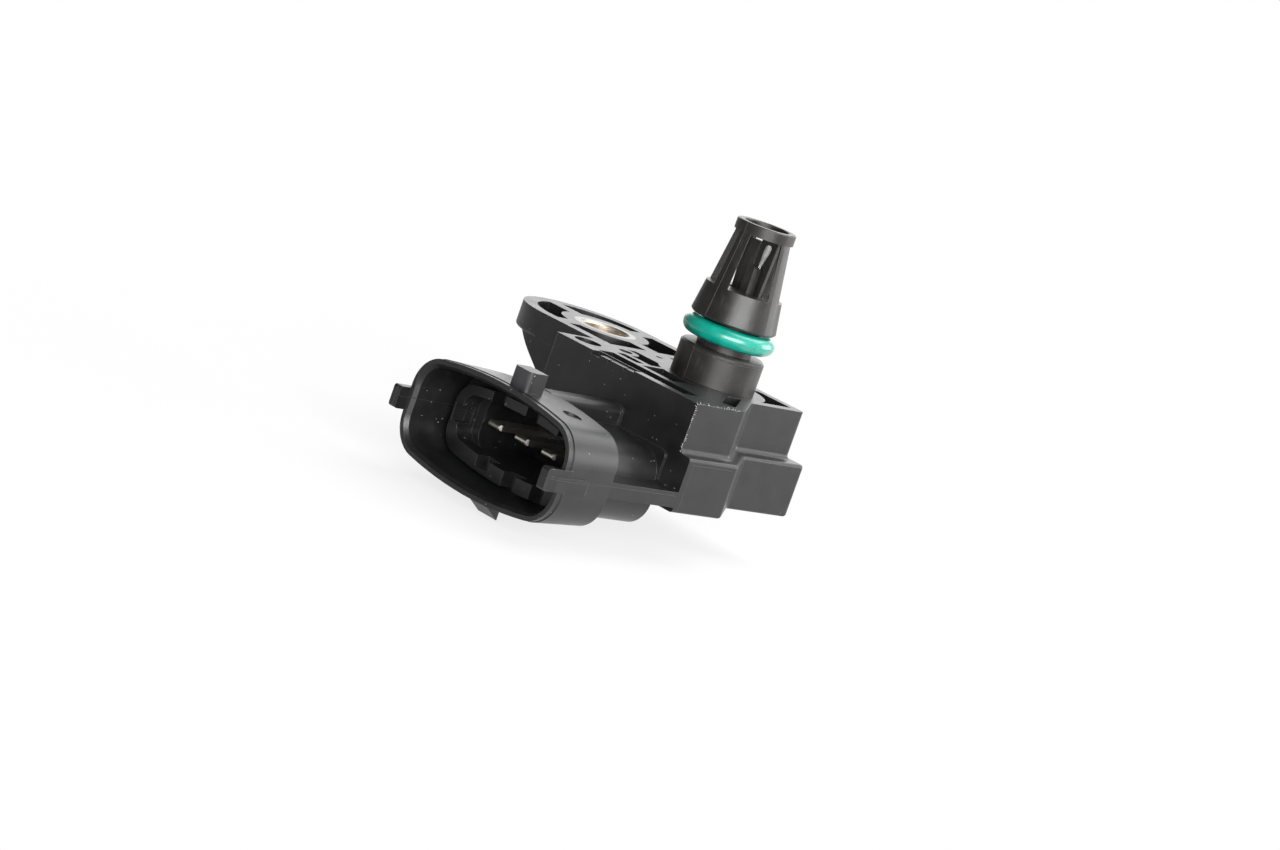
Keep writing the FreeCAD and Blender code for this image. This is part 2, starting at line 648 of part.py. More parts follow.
def face_webs():
    """The webs beside the neck, the spine on it, and the pads at its root."""
    run = ("-shroud_back - 0.5", "-front_face + 0.5")
    height = (f"-{SOCKET} - web_fall", f"-{SOCKET} + web_rise")
    web_right = box("web_right", ("socket_x + neck_half_wide - 2", "upper_right + lower_step"),
                    run, height)
    web_left = box("web_left", ("socket_x - shroud_half_wide + shroud_draft",
                                "socket_x - neck_half_wide + 2"),
                   run, height)
    spine_x = "socket_x - spine_shift"
    spine = box("spine_block", (f"{spine_x} - spine_half_wide", f"{spine_x} + spine_half_wide"),
                run, (f"-{SOCKET} + 2", "-spine_top"))
    top = -size("spine_top")
    spine = soften("spine", spine, 0.6 * size("spine_half_wide"),
                   lambda edge: level(edge, top) and edge.BoundBox.YLength > edge.BoundBox.XLength)
    root_y = ("-front_face - pad_thick", "-front_face + 0.5")
    spine_pad = box("spine_pad_block",
                    (f"{spine_x} - spine_half_wide - 0.15", f"{spine_x} + spine_half_wide + 0.15"),
                    root_y, (f"-{SOCKET} + 2", "-spine_top + 0.05"))
    neck_pad = box("neck_pad_block",
                   ("socket_x - neck_half_wide - 0.25", "socket_x + neck_half_wide + 0.25"),
                   root_y, (f"-{SOCKET} + web_rise - 0.5", f"-{SOCKET} + neck_half_tall + 0.15"))
    low_pad = box("low_pad_block", ("socket_x - neck_half_wide - 1.9", "socket_x + neck_half_wide + 1.9"),
                  root_y, (f"-{SOCKET} + web_rise - 0.5", f"-{SOCKET} + web_rise + 0.35"))
    pads = []
    for pad in (spine_pad, neck_pad, low_pad):
        DOC.recompute()
        head = pad.Shape.BoundBox.ZMax
        radius = min(0.9, 0.45 * pad.Shape.BoundBox.ZLength)
        pads.append(soften(f"{pad.Name}_round", pad, radius,
                           lambda edge, head=head: level(edge, head) and edge.BoundBox.YLength > 0.5
                           and edge.BoundBox.XLength < 1e-6))
    return [web_right, web_left, spine] + pads


def guides():
    """What stands out of the shroud: two guide tabs, an upright stub and a latch ramp."""
    rows = []
    for side, sign in (("right", 1), ("left", -1)):
        outer = f"socket_x + {sign} * shroud_half_wide"
        inner = f"socket_x + {sign} * (shroud_half_wide - tab_thick)"
        span = (inner, outer) if sign > 0 else (outer, inner)
        tab = box(f"tab_{side}_block", span, ("-shroud_front - tab_reach", "-shroud_front + 1.5"),
                  (f"-{SOCKET} - tab_fall", f"-{SOCKET} + tab_rise"))
        nose = -size("shroud_front") - size("tab_reach")
        rows.append(soften(f"tab_{side}", tab, size("tab_round"),
                           lambda edge: edge.BoundBox.YMax < nose + 0.01 and edge.BoundBox.XLength > 0.5))
        proud = f"socket_x + {sign} * (shroud_half_wide + tab_rib_proud)"
        nearest = "-shroud_front - tab_reach"
        root = f"socket_x + {sign} * (shroud_half_wide - 0.7)"
        rib_plan = [(root, "-tab_rib_back"), (f"{proud} - {sign} * 0.1", "-tab_rib_back"),
                    (proud, "-tab_rib_back - 0.2"),
                    (proud, f"{nearest} + 1.6"),
                    (f"socket_x + {sign} * shroud_half_wide", f"{nearest} + 0.5"),
                    (root, f"{nearest} + 0.5")]
        rows.append(prism(f"tab_rib_{side}", "XY", rib_plan,
                          (f"-{SOCKET} - tab_fall + 0.2", f"-{SOCKET} + tab_rib_rise")))
    stub = box("stub_block", ("stub_left", "stub_left + stub_wide"),
               ("-stub_front", "-stub_front + stub_long"), ("-stub_top - 4", "-stub_top"))
    nose = -size("stub_front")
    rows.append(soften("stub", stub, 0.23 * size("stub_wide"),
                       lambda edge: upright(edge) and edge.BoundBox.Center.y < nose + 0.01))
    rows.append(prism("catch", "YZ", [
        ("-shroud_front + 0.1", f"-{SOCKET} - shroud_half_tall + 0.2"),
        ("-shroud_front + 0.1 + catch_long", f"-{SOCKET} - shroud_half_tall - catch_deep + 0.1"),
        ("-shroud_front + 0.1 + catch_long", f"-{SOCKET} - shroud_half_tall + 1.0"),
        ("-shroud_front + 0.1", f"-{SOCKET} - shroud_half_tall + 1.0"),
    ], ("catch_left", "catch_left + catch_wide")))
    return rows


def connector_rooms():
    """What is open inside the connector."""
    front, back = size("shroud_front"), size("shroud_back")
    floor = back + size("shroud_floor")
    wide, tall, corner = (size(n) for n in ("shroud_half_wide", "shroud_half_tall", "shroud_corner"))
    wall, draft, bevel = size("shroud_wall"), size("shroud_draft"), size("mouth_bevel")
    at_rim = (wide - wall + bevel, tall - wall + bevel, corner - wall + bevel)
    mouth = crowned_loft("mouth_room",
                         (floor, wide - wall - draft, tall - wall - draft, corner - wall - draft),
                         (front - 1.3 * bevel, wide - wall, tall - wall, corner - wall),
                         (front, *at_rim),
                         (front + 1, *at_rim))
    collar_front = floor + size("collar_reach")
    collar = crowned_loft("collar_solid",
                          (floor - 0.5, size("collar_half_wide"), size("collar_half_tall"),
                           size("collar_corner")),
                          (collar_front, size("collar_half_wide"), size("collar_half_tall"),
                           size("collar_corner")),
                          drop=size("collar_drop"))
    notched = cut("collar", collar, *collar_notches())
    step, in_neck = back + size("socket_step"), size("neck_half_wide") - size("neck_wall")
    chamber = crowned_loft("terminal_chamber",
                           (step, size("socket_half_wide"), size("socket_half_tall"),
                            size("socket_corner")),
                           (collar_front + 1, size("socket_half_wide"), size("socket_half_tall"),
                            size("socket_corner")))
    deep = crowned_loft("terminal_deep",
                        (size("socket_floor"), in_neck, size("socket_half_tall"), size("socket_corner")),
                        (step + 0.1, in_neck, size("socket_half_tall"), size("socket_corner")))
    return [cut("mouth", mouth, notched), chamber, deep]


def collar_notches():
    """Key notches through the rim of the collar."""
    depth = ("-shroud_back - shroud_floor - collar_reach - 1", "-shroud_back - shroud_floor")
    rows = []
    floor = f"-{SOCKET} - collar_drop - collar_half_tall - 1"
    low = (floor, f"-{SOCKET} - socket_half_tall + 0.5")
    shallow = (f"-{SOCKET} - socket_half_tall - 1.2", f"-{SOCKET} - socket_half_tall + 0.5")
    high = (f"-{SOCKET} + socket_half_tall - 0.5", f"-{SOCKET} - collar_drop + collar_half_tall + 1")
    spots = [("low_1", -0.81, shallow), ("low_2", 0.2, low), ("low_3", 1.22, low),
             ("high_1", -0.98, high), ("high_2", 0.25, high), ("high_3", 1.45, high)]
    for name, steps, height in spots:
        middle = f"socket_x + {steps} * terminal_pitch"
        rows.append(box(f"notch_{name}", (f"{middle} - notch_wide / 2", f"{middle} + notch_wide / 2"),
                        depth, height))
    for side, low_x, high_x in (
            ("left", "socket_x - collar_half_wide + 0.3", "socket_x - socket_half_wide + 0.5"),
            ("right", "socket_x + socket_half_wide - 0.5", "socket_x + collar_half_wide - 0.3")):
        rows.append(box(f"notch_{side}", (low_x, high_x), depth,
                        (f"-{SOCKET} - notch_wide / 2", f"-{SOCKET} + notch_wide / 2")))
    return rows


def bay_outline(out):
    """The plan of the electronics chamber, moved outwards by a formula."""
    left, right = f"-cavity_left - ({out})", f"cavity_right + ({out})"
    near, far = f"-cavity_front - ({out})", f"cavity_back + ({out})"
    bay_end, bay_far = f"bay_right + ({out})", f"-bay_back + ({out})"
    return [(left, near), (bay_end, near), (bay_end, bay_far), (right, bay_far), (right, far),
            (left, far)]


def chamber_rooms():
    """The electronics chamber: a shelf above the board and a recess for the cover."""
    return [
        prism("upper_chamber", "XY", bay_outline("-shelf_wide"), (f"-{SHELF}", "-ceiling_depth")),
        prism("lower_chamber", "XY", bay_outline("0"), (f"-{BASE} - 1", f"-{SHELF}")),
        prism("cover_recess", "XY", bay_outline("cover_lip"),
              (f"-{BASE} - 1", f"-{BASE} + cover_thick")),
        bead_ring("bead_groove"),
    ]


def bead_ring(name):
    """The adhesive bead under the cover's edge."""
    middle = "cover_lip / 2"
    height = (f"-{BASE} + cover_thick", f"-{BASE} + cover_thick + bead_deep")
    outer = prism(f"{name}_outer", "XY", bay_outline(f"{middle} + bead_wide / 2"), height)
    inner = prism(f"{name}_inner", "XY", bay_outline(f"{middle} - bead_wide / 2"), height)
    return cut(name, outer, inner)


def terminal_place(i):
    """The middle of a terminal, along X."""
    return f"socket_x + {i - 1.5} * terminal_pitch"


def terminal(i, name):
    """One terminal: a pointed blade, its run through the wall, and a leg up through the board."""
    x = terminal_place(i)
    half = "blade_wide / 2"
    blade = prism(f"{name}_blade", "XY", [
        (f"{x} - {half} + blade_chamfer", "-blade_tip"),
        (f"{x} + {half} - blade_chamfer", "-blade_tip"),
        (f"{x} + {half}", "-blade_tip + 1.6 * blade_chamfer"),
        (f"{x} + {half}", "-cavity_front + 0.6"),
        (f"{x} - {half}", "-cavity_front + 0.6"),
        (f"{x} - {half}", "-blade_tip + 1.6 * blade_chamfer"),
    ], (f"-{SOCKET} - blade_thick / 2", f"-{SOCKET} + blade_thick / 2"))
    tip = -size("blade_tip")
    blade = soften(f"{name}_point", blade, 0.3 * size("blade_thick"),
                   lambda edge: edge.BoundBox.YMax < tip + 0.01 and edge.BoundBox.XLength > 0.5,
                   "Part::Chamfer")
    run = box(f"{name}_run", (f"{x} - leg_wide / 2", f"{x} + leg_wide / 2"),
              ("-cavity_front + 0.5", "-leg_place + blade_thick / 2"),
              (f"-{SOCKET} - blade_thick / 2", f"-{SOCKET} + blade_thick / 2"))
    leg = box(f"{name}_leg", (f"{x} - leg_wide / 2", f"{x} + leg_wide / 2"),
              ("-leg_place - blade_thick / 2", "-leg_place + blade_thick / 2"),
              (f"-{SOCKET} - blade_thick / 2", f"-{SHELF} + leg_over"))
    return fuse(f"{name}_body", blade, run, leg)


def terminal_slots():
    """The passages of the blades through the wall behind the socket."""
    rows = []
    for i in range(4):
        x = terminal_place(i)
        rows.append(box(f"terminal_slot_{i + 1}",
                        (f"{x} - blade_wide / 2", f"{x} + blade_wide / 2"),
                        ("-socket_floor - 0.5", "-cavity_front + 0.5"),
                        (f"-{SOCKET} - blade_thick / 2", f"-{SOCKET} + blade_thick / 2")))
    return rows


def port_seat():
    """The hole for the port's tube and the groove for its adhesive."""
    hole = cylinder("tube_hole", "tube_radius", ("-ceiling_depth - 1", "1"))
    return [hole, glue_ring("glue_groove")]


def glue_ring(name):
    """The adhesive ring under the port's lower collar."""
    outer = cylinder(f"{name}_outer", "glue_outer", ("-glue_deep", "0"))
    inner = cylinder(f"{name}_inner", "glue_inner", ("-glue_deep", "0"))
    return cut(name, outer, inner)


def housing():
    """The one moulding that carries everything else."""
    solids = [body_tiers()] + flange_solids() + connector_solids()
    raw = fuse("housing_raw", *solids)
    rooms = flange_pockets() + deck_pockets() + connector_rooms() + chamber_rooms()
    rooms += terminal_slots() + port_seat()
    rooms.append(cylinder("bush_hole", "bush_outer_radius", ("-gusset_depth - 1", "1"),
                          x="-bush_offset"))
    rooms.append(gate_dimple())
    return node("housing", cut("housing_body", raw, *rooms))


def gate_dimple():
    """A shallow round dimple on the shroud's top, right of its middle."""
    top = size("shroud_half_tall") - size("shroud_draft") / 2 - value(SOCKET)
    across = 8.6
    sag = across ** 2 / (2 * size("shroud_crown"))
    dimple = cylinder("gate_dimple", "gate_radius", ("0", "2"), x="socket_x + 8.6", y="-34.2")
    dimple.setExpression("Placement.Base.z", None)
    dimple.Placement.Base = Vector(0, 0, top - sag - 0.28)
    return dimple


# The pressure port


def port_body():
    """The port: lower collar, seal groove, upper collar, and a cage with four windows."""
    edge = "collar_chamfer"
    outer = revolve("port_outer", [
        ("port_bore_radius", "-ceiling_depth"),
        ("tube_radius", "-ceiling_depth"),
        ("tube_radius", "0"),
        ("spigot_radius", "0"),
        ("spigot_radius", f"spigot_top - {edge}"),
        (f"spigot_radius - {edge}", "spigot_top"),
        ("groove_radius", "spigot_top"),
        ("groove_radius", "groove_top"),
        (f"pilot_radius - {edge}", "groove_top"),
        ("pilot_radius", f"groove_top + {edge}"),
        ("tip_ring_radius", WINDOW_HEAD),
        ("tip_ring_radius", "tip_height - tip_chamfer"),
        ("tip_ring_radius - tip_chamfer", "tip_height"),
        ("cage_bore_head + tip_chamfer", "tip_height"),
        ("cage_bore_head", "tip_height - tip_chamfer"),
        ("cage_bore_foot", "seat_place"),
        ("port_bore_radius", "seat_place"),
    ])
    return node("pressure_port", cut("port_body", outer, *cage_windows()))


def cage_windows():
    """Four windows with parallel sides, as wide at each height as the window's angle makes them."""
    half = math.radians(size("window_angle") / 2)
    low, high = size("window_foot"), value(WINDOW_HEAD)
    start = size("groove_top") + size("collar_chamfer")
    slope = (size("pilot_radius") - size("tip_ring_radius")) / (high - start)
    foot = (size("pilot_radius") - slope * (low - start)) * math.sin(half)
    head = size("tip_ring_radius") * math.sin(half)
    rows = []
    for i in range(4):
        corners = [Vector(0, -foot, low), Vector(0, foot, low), Vector(0, head, high),
                   Vector(0, -head, high)]
        face = Part.Face(Part.makePolygon(corners + corners[:1]))
        window = face.extrude(Vector(2 * size("pilot_radius"), 0, 0))
        window.rotate(Vector(), Vector(0, 0, 1), size("port_clock") + 45 + 90 * i)
        rows.append(solid(f"window_{i + 1}", window))
    return rows


def o_ring():
    """The seal ring in the port's groove."""
    ring = DOC.addObject("Part::Torus", "o_ring_body")
    bind(ring, Radius1="ring_radius", Radius2="ring_section", z="ring_place")
    return node("o_ring", ring)


def mounting_bush():
    """The metal bush that takes the screw's clamping force."""
    low, edge = "-gusset_depth", "bush_chamfer"
    bush = revolve("bush_body", [
        ("bush_inner_radius", f"{low} + {edge}"),
        (f"bush_inner_radius + {edge}", low),
        ("bush_outer_radius", low),
        ("bush_outer_radius", "0"),
        (f"bush_inner_radius + {edge}", "0"),
        ("bush_inner_radius", f"-{edge}"),
    ])
    bind(bush, x="-bush_offset")
    return node("mounting_bush", bush)


# The thermistor in the cage


def thermistor_carrier():
    """The plastic carrier in the cage: a foot, a wall across the bore and a stem for the leads."""
    low, high = "seat_place", "seat_place + carrier_thick"
    disc = cone("carrier_disc", "cage_bore_foot - carrier_gap", "cage_bore_foot - carrier_gap",
                (low, high))
    bridge = box("carrier_bridge", ("-carrier_wide / 2", "carrier_wide / 2"),
                 ("-cage_bore_foot", "cage_bore_foot"), (low, high))
    bore = cone("carrier_bore", "cage_bore_foot - carrier_gap", "cage_bore_head - carrier_gap",
                (low, "tip_height"))
    wall = box("carrier_wall_block", ("-cage_bore_head", "cage_bore_head"),
               ("-wall_back", "-wall_back + wall_thick"), (low, WALL_TOP))
    bind(wall, y="wall_back - wall_thick")
    panel = box("carrier_panel", ("-wall_notch_left", "-wall_notch_right"),
                ("wall_back - wall_thick - wall_rib_proud", "wall_back - 0.1"),
                (low, NOTCH_FLOOR))
    notch = box("carrier_notch", ("-wall_notch_left", "-wall_notch_right"),
                ("-cage_bore_head", "cage_bore_head"), (NOTCH_FLOOR, "tip_height"))
    stem = box("carrier_stem_block", ("stem_left", "stem_left + stem_wide"),
               ("-stem_back - stem_deep", "-stem_back"), (low, STEM_TOP))
    top = value(STEM_TOP)
    stem = soften("carrier_stem", stem, size("stem_chamfer"),
                  lambda edge: level(edge, top) and edge.BoundBox.XMin > 0.5 * (
                      2 * size("stem_left") + size("stem_wide")), "Part::Chamfer")
    holes = [cylinder(f"carrier_hole_{i + 1}", "lead_radius", (f"{low} - 1", "tip_height"),
                      x=lead_place(side), y="-lead_row") for i, side in enumerate((-1, 1))]
    upper = cut("carrier_upper", common("carrier_wall", fuse("carrier_inside", wall, panel), bore),
                notch)
    foot = common("carrier_foot", disc, bridge)
    raw = fuse("carrier_raw", foot, upper, stem)
    return node("thermistor_carrier", cut("carrier_body", raw, *holes))


def lead_place(side):
    """The place of a lead along X: left of the pair's middle, or right of it."""
    return f"lead_place + {side} * lead_spread / 2"


def thermistor_drop():
    """The coated thermistor: a drop that stands on its point and leans a little."""
    drop = revolve("drop_body", [
        ("0", "0"),
        ("drop_foot_radius", "0"),
        ("0.72 * drop_radius", "0.33 * drop_long"),
        ("0.95 * drop_radius", "0.6 * drop_long"),
        ("drop_radius", "drop_long - 1.3 * drop_radius"),
        ("0.93 * drop_radius", "drop_long - 0.7 * drop_radius"),
        ("0.7 * drop_radius", "drop_long - 0.25 * drop_radius"),
        ("0.35 * drop_radius", "drop_long - 0.04 * drop_radius"),
        ("0", "drop_long"),
    ])
    drop.Placement.Rotation = Rotation(Vector(0, 1, 0), size("drop_lean"))
    bind(drop, x="lead_place", y="-lead_row", z=DROP_FOOT)
    return node("thermistor_drop", drop)


def thermistor_lead(name, side):
    """A straight lead from the board up through the carrier's stem to the foot of the drop."""
    lean = math.radians(size("drop_lean"))
    lead = cylinder(f"{name}_wire", "lead_radius", (f"-{SHELF}", f"{DROP_FOOT} + drop_foot_radius"),
                    x=lead_place(side), y="-lead_row")
    above = box(f"{name}_above", ("-1", "1"), ("-1", "1"), ("0", "2"))
    above.setExpression("Placement.Base.x", None)
    above.setExpression("Placement.Base.y", None)
    above.setExpression("Placement.Base.z", None)
    middle = Vector(size("lead_place"), -size("lead_row"), value(DROP_FOOT))
    corner = Vector(-math.cos(lean), -1, math.sin(lean))
    above.Placement = Placement(middle + corner, Rotation(Vector(0, 1, 0), size("drop_lean")))
    return node(name, cut(f"{name}_body", lead, above))


# The electronics


def bottom_cover():
    """The cover that closes the chamber from below."""
    plate = prism("cover_plate", "XY", bay_outline("cover_lip - cover_gap"),
                  (f"-{BASE}", f"-{BASE} + cover_thick"))
    return node("bottom_cover", plate)


def circuit_board():
    """The ceramic board, with holes for the terminals' legs and the thermistor's leads."""
    low, high = f"-{SHELF} - board_thick", f"-{SHELF}"
    plate = prism("board_plate", "XY", bay_outline("-board_gap"), (low, high))
    holes = []
    for i in range(4):
        x = terminal_place(i)
        holes.append(box(f"board_hole_{i + 1}", (f"{x} - leg_wide / 2", f"{x} + leg_wide / 2"),
                         ("-leg_place - blade_thick / 2", "-leg_place + blade_thick / 2"),
                         (f"{low} - 1", f"{high} + 1")))
    return node("circuit_board", cut("board_body", plate, *holes))


def solder_joint(i, name):
    """The solder round a terminal's leg, under the board."""
    x = terminal_place(i)
    low = f"-{SHELF} - board_thick - joint_tall"
    high = f"-{SHELF} - board_thick"
    heap = cone(f"{name}_heap", "0.7 * joint_radius", "joint_radius", (low, high), x=x, y="-leg_place")
    hole = box(f"{name}_hole", (f"{x} - leg_wide / 2", f"{x} + leg_wide / 2"),
               ("-leg_place - blade_thick / 2", "-leg_place + blade_thick / 2"),
               (f"{low} - 1", f"{high} + 1"))
    return node(name, cut(f"{name}_body", heap, hole))


def chamber_seal():
    """The soft seal that leads the port's pressure to the cell."""
    height = (f"-{SHELF}", "-ceiling_depth")
    outer = box("seal_outer", ("-seal_half_wide", "seal_half_wide"), ("-seal_near", "seal_far"), height)
    inner = box("seal_inner", ("-seal_half_wide + seal_wall", "seal_half_wide - seal_wall"),
                ("-seal_near + seal_wall", "seal_far - seal_wall"), height)
    return node("chamber_seal", cut("seal_body", outer, inner))


def square(name, half, z):
    """A square block over the middle of the sensor cell."""
    return box(name, (f"-({half})", half), (f"-cell_place - ({half})", f"-cell_place + ({half})"), z)


def sensor_cell():
    """The cell on the board: frame, glass pedestal, pressure die and protective gel."""
    floor = f"-{SHELF}"
    glass_top = f"{floor} + glass_tall"
    die_top = f"{glass_top} + die_tall"
    frame = cut("cell_frame_body",
                square("cell_frame_outer", "cell_half", (floor, f"{floor} + cell_tall")),
                square("cell_frame_inner", "cell_half - cell_wall", (floor, f"{floor} + cell_tall")))
    node("cell_frame", frame)
    node("glass_pedestal", square("glass_body", "glass_half", (floor, glass_top)))
    node("pressure_die", square("die_body", "glass_half", (glass_top, die_top)))
    gel = cut("gel_body",
              square("gel_outer", "cell_half - cell_wall", (floor, f"{floor} + gel_tall")),
              square("gel_inner", "glass_half", (floor, die_top)))
    node("protective_gel", gel)


def board_parts():
    """The signal chip and three capacitors, under the board."""
    high = f"-{SHELF} - board_thick"
    node("signal_chip", box("chip_body", ("-chip_x - chip_half", "-chip_x + chip_half"),
                            ("-chip_y - chip_half", "-chip_y + chip_half"),
                            (f"{high} - chip_tall", high)))
    for i in range(3):
        y = f"-chip_y + {i} * capacitor_pitch"
        x = "cavity_right - 3"
        node(f"capacitor_{i + 1}", box(f"capacitor_{i + 1}_body",
                                       (f"{x} - capacitor_long / 2", f"{x} + capacitor_long / 2"),
                                       (f"{y} - capacitor_wide / 2", f"{y} + capacitor_wide / 2"),
                                       (f"{high} - capacitor_tall", high)))


def build():
    """Builds every piece."""
    fill_sheet()
    housing()
    port_body()
    o_ring()
    mounting_bush()
    for i in range(4):
        name = f"terminal_{i + 1}"
        node(name, terminal(i, name))
        solder_joint(i, f"solder_joint_{i + 1}")
    thermistor_carrier()
    thermistor_drop()
    thermistor_lead("thermistor_lead_1", -1)
    thermistor_lead("thermistor_lead_2", 1)
    bottom_cover()
    node("cover_adhesive", bead_ring("cover_bead"))
    node("port_adhesive", glue_ring("port_glue"))
    circuit_board()
    chamber_seal()
    sensor_cell()
    board_parts()
    DOC.recompute()


def write_parts():
    """Checks every object and writes one STEP file for each piece."""
    for item in DOC.Objects:
        if "Invalid" in item.State or "Error" in item.State:
            raise RuntimeError(f"{item.Name} failed: {item.State}")
    os.makedirs("parts", exist_ok=True)
    for name, item in NODES.items():
        shape = item.Shape
        if shape.isNull() or not shape.isValid() or not shape.Solids:
            raise RuntimeError(f"{name} has no valid solid")
        shape.exportStep(os.path.join("parts", f"{name}.step"))
        print(f"{name}: {len(shape.Solids)} solid, {shape.Volume:.1f} mm3, {len(shape.Faces)} faces")




build()
write_parts()
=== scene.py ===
# %% [markdown]
# # Dressing a pressure and temperature sensor
#
# The solids of this engine sensor are already modelled and packed. This script loads them as a
# fixed frame and gives them their looks: black glass-filled plastic, a green rubber ring, bright
# and tinned metal, and the small marks that a mould leaves. Lengths are in metres throughout, but
# it is easier to think about a small product in millimetres, so a short helper converts them.

# %% Load the frame
import math

import bpy
from mathutils import Matrix, Vector


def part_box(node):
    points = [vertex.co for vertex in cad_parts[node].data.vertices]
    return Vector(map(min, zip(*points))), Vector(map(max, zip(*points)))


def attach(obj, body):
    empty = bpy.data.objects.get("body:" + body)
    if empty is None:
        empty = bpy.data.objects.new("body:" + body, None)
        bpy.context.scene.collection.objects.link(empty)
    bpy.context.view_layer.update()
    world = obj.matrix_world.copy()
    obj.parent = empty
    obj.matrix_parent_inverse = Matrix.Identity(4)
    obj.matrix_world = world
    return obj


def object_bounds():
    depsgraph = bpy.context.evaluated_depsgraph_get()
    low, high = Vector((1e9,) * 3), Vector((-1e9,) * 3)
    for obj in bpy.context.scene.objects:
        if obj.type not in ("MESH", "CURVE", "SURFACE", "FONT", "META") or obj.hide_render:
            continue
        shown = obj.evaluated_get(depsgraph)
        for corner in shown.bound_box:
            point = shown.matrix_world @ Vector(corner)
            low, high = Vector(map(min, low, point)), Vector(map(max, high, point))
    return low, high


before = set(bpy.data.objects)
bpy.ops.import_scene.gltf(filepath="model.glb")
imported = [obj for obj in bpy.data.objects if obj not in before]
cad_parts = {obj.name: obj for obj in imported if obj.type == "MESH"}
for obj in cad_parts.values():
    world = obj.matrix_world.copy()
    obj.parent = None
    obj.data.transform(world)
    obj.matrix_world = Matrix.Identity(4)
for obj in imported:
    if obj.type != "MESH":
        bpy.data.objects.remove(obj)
cad_box = [list(corner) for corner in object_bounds()]
scene = bpy.context.scene
print("nodes:", len(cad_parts))


# %% Millimetres
MM = 0.001


def mm(*values):
    """Millimetres as metres: one number, or a vector of three."""
    scaled = [value * MM for value in values]
    return scaled[0] if len(scaled) == 1 else Vector(scaled)


# %% [markdown]
# ## The camera
#
# The photograph was taken with a long lens from about half a metre, with the sensor leaning to
# the right in the picture. The direction, the lean and the distance were fitted to the edges that
# are straight on the real part. The camera is built from three unit vectors: where it looks back
# from, what is to its right, and what is above it. The lens follows from the distance and the
# scale, and the object's place in the picture gives the sideways offset, so no shift is needed.

# %% Place the camera
AZIMUTH, ELEVATION, ROLL = (math.radians(angle) for angle in (42.22, 9.29, 19.53))
DISTANCE = mm(500)
PIXELS_PER_METRE = 7450.0
FRAME_WIDE, FRAME_TALL = 1280, 850
ORIGIN_PIXEL = (711.7, 381.9)
SENSOR_WIDE = 36.0

back = Vector((math.sin(AZIMUTH) * math.cos(ELEVATION),
               -math.cos(AZIMUTH) * math.cos(ELEVATION),
               math.sin(ELEVATION)))
level_right = Vector((math.cos(AZIMUTH), math.sin(AZIMUTH), 0))
level_up = back.cross(level_right)
right = math.cos(ROLL) * level_right + math.sin(ROLL) * level_up
up = -math.sin(ROLL) * level_right + math.cos(ROLL) * level_up

across = (ORIGIN_PIXEL[0] - FRAME_WIDE / 2) / PIXELS_PER_METRE
above = -(ORIGIN_PIXEL[1] - FRAME_TALL / 2) / PIXELS_PER_METRE
eye = back * DISTANCE - right * across - up * above

camera_data = bpy.data.cameras.new("camera")
camera_data.sensor_fit = "HORIZONTAL"
camera_data.sensor_width = SENSOR_WIDE
camera_data.lens = SENSOR_WIDE * PIXELS_PER_METRE * DISTANCE / FRAME_WIDE
camera_data.clip_start = 0.01
camera = bpy.data.objects.new("camera", camera_data)
scene.collection.objects.link(camera)
turn = Matrix((right, up, back)).transposed()
camera.matrix_world = Matrix.Translation(eye) @ turn.to_4x4()
scene.camera = camera
print("lens:", round(camera_data.lens, 1), "mm")


# %% [markdown]
# ## Writing materials as sums
#
# A procedural material is a formula over the surface. Node by node it is slow to read, so a small
# class wraps a socket: adding, multiplying or comparing two wrapped values makes the Math node
# that does it. Every other node comes from one method, which takes the node's type, its settings
# and the values of its inputs.

# %% Sockets that add and multiply
class Value:
    """A node's output that can be used in arithmetic."""

    def __init__(self, nodes, socket):
        self.nodes = nodes
        self.socket = socket

    def maths(self, operation, *others):
        node = self.nodes.tree.nodes.new("ShaderNodeMath")
        node.operation = operation
        for socket, item in zip(node.inputs, (self,) + others):
            self.nodes.plug(socket, item)
        return Value(self.nodes, node.outputs[0])

    def __add__(self, other):
        return self.maths("ADD", other)

    def __radd__(self, other):
        return self.maths("ADD", other)

    def __mul__(self, other):
        return self.maths("MULTIPLY", other)

    def __rmul__(self, other):
        return self.maths("MULTIPLY", other)

    def __sub__(self, other):
        return self.maths("SUBTRACT", other)

    def __rsub__(self, other):
        return self.nodes.number(other).maths("SUBTRACT", self)

    def __gt__(self, other):
        return self.maths("GREATER_THAN", other)

    def __lt__(self, other):
        return self.maths("LESS_THAN", other)

    def size(self):
        return self.maths("ABSOLUTE")

    def between(self, low, high):
        """0 below low, 1 above high, and smooth in between."""
        return self.nodes.node("ShaderNodeMapRange", {"interpolation_type": "SMOOTHSTEP"},
                               {"Value": self, "From Min": low, "From Max": high})


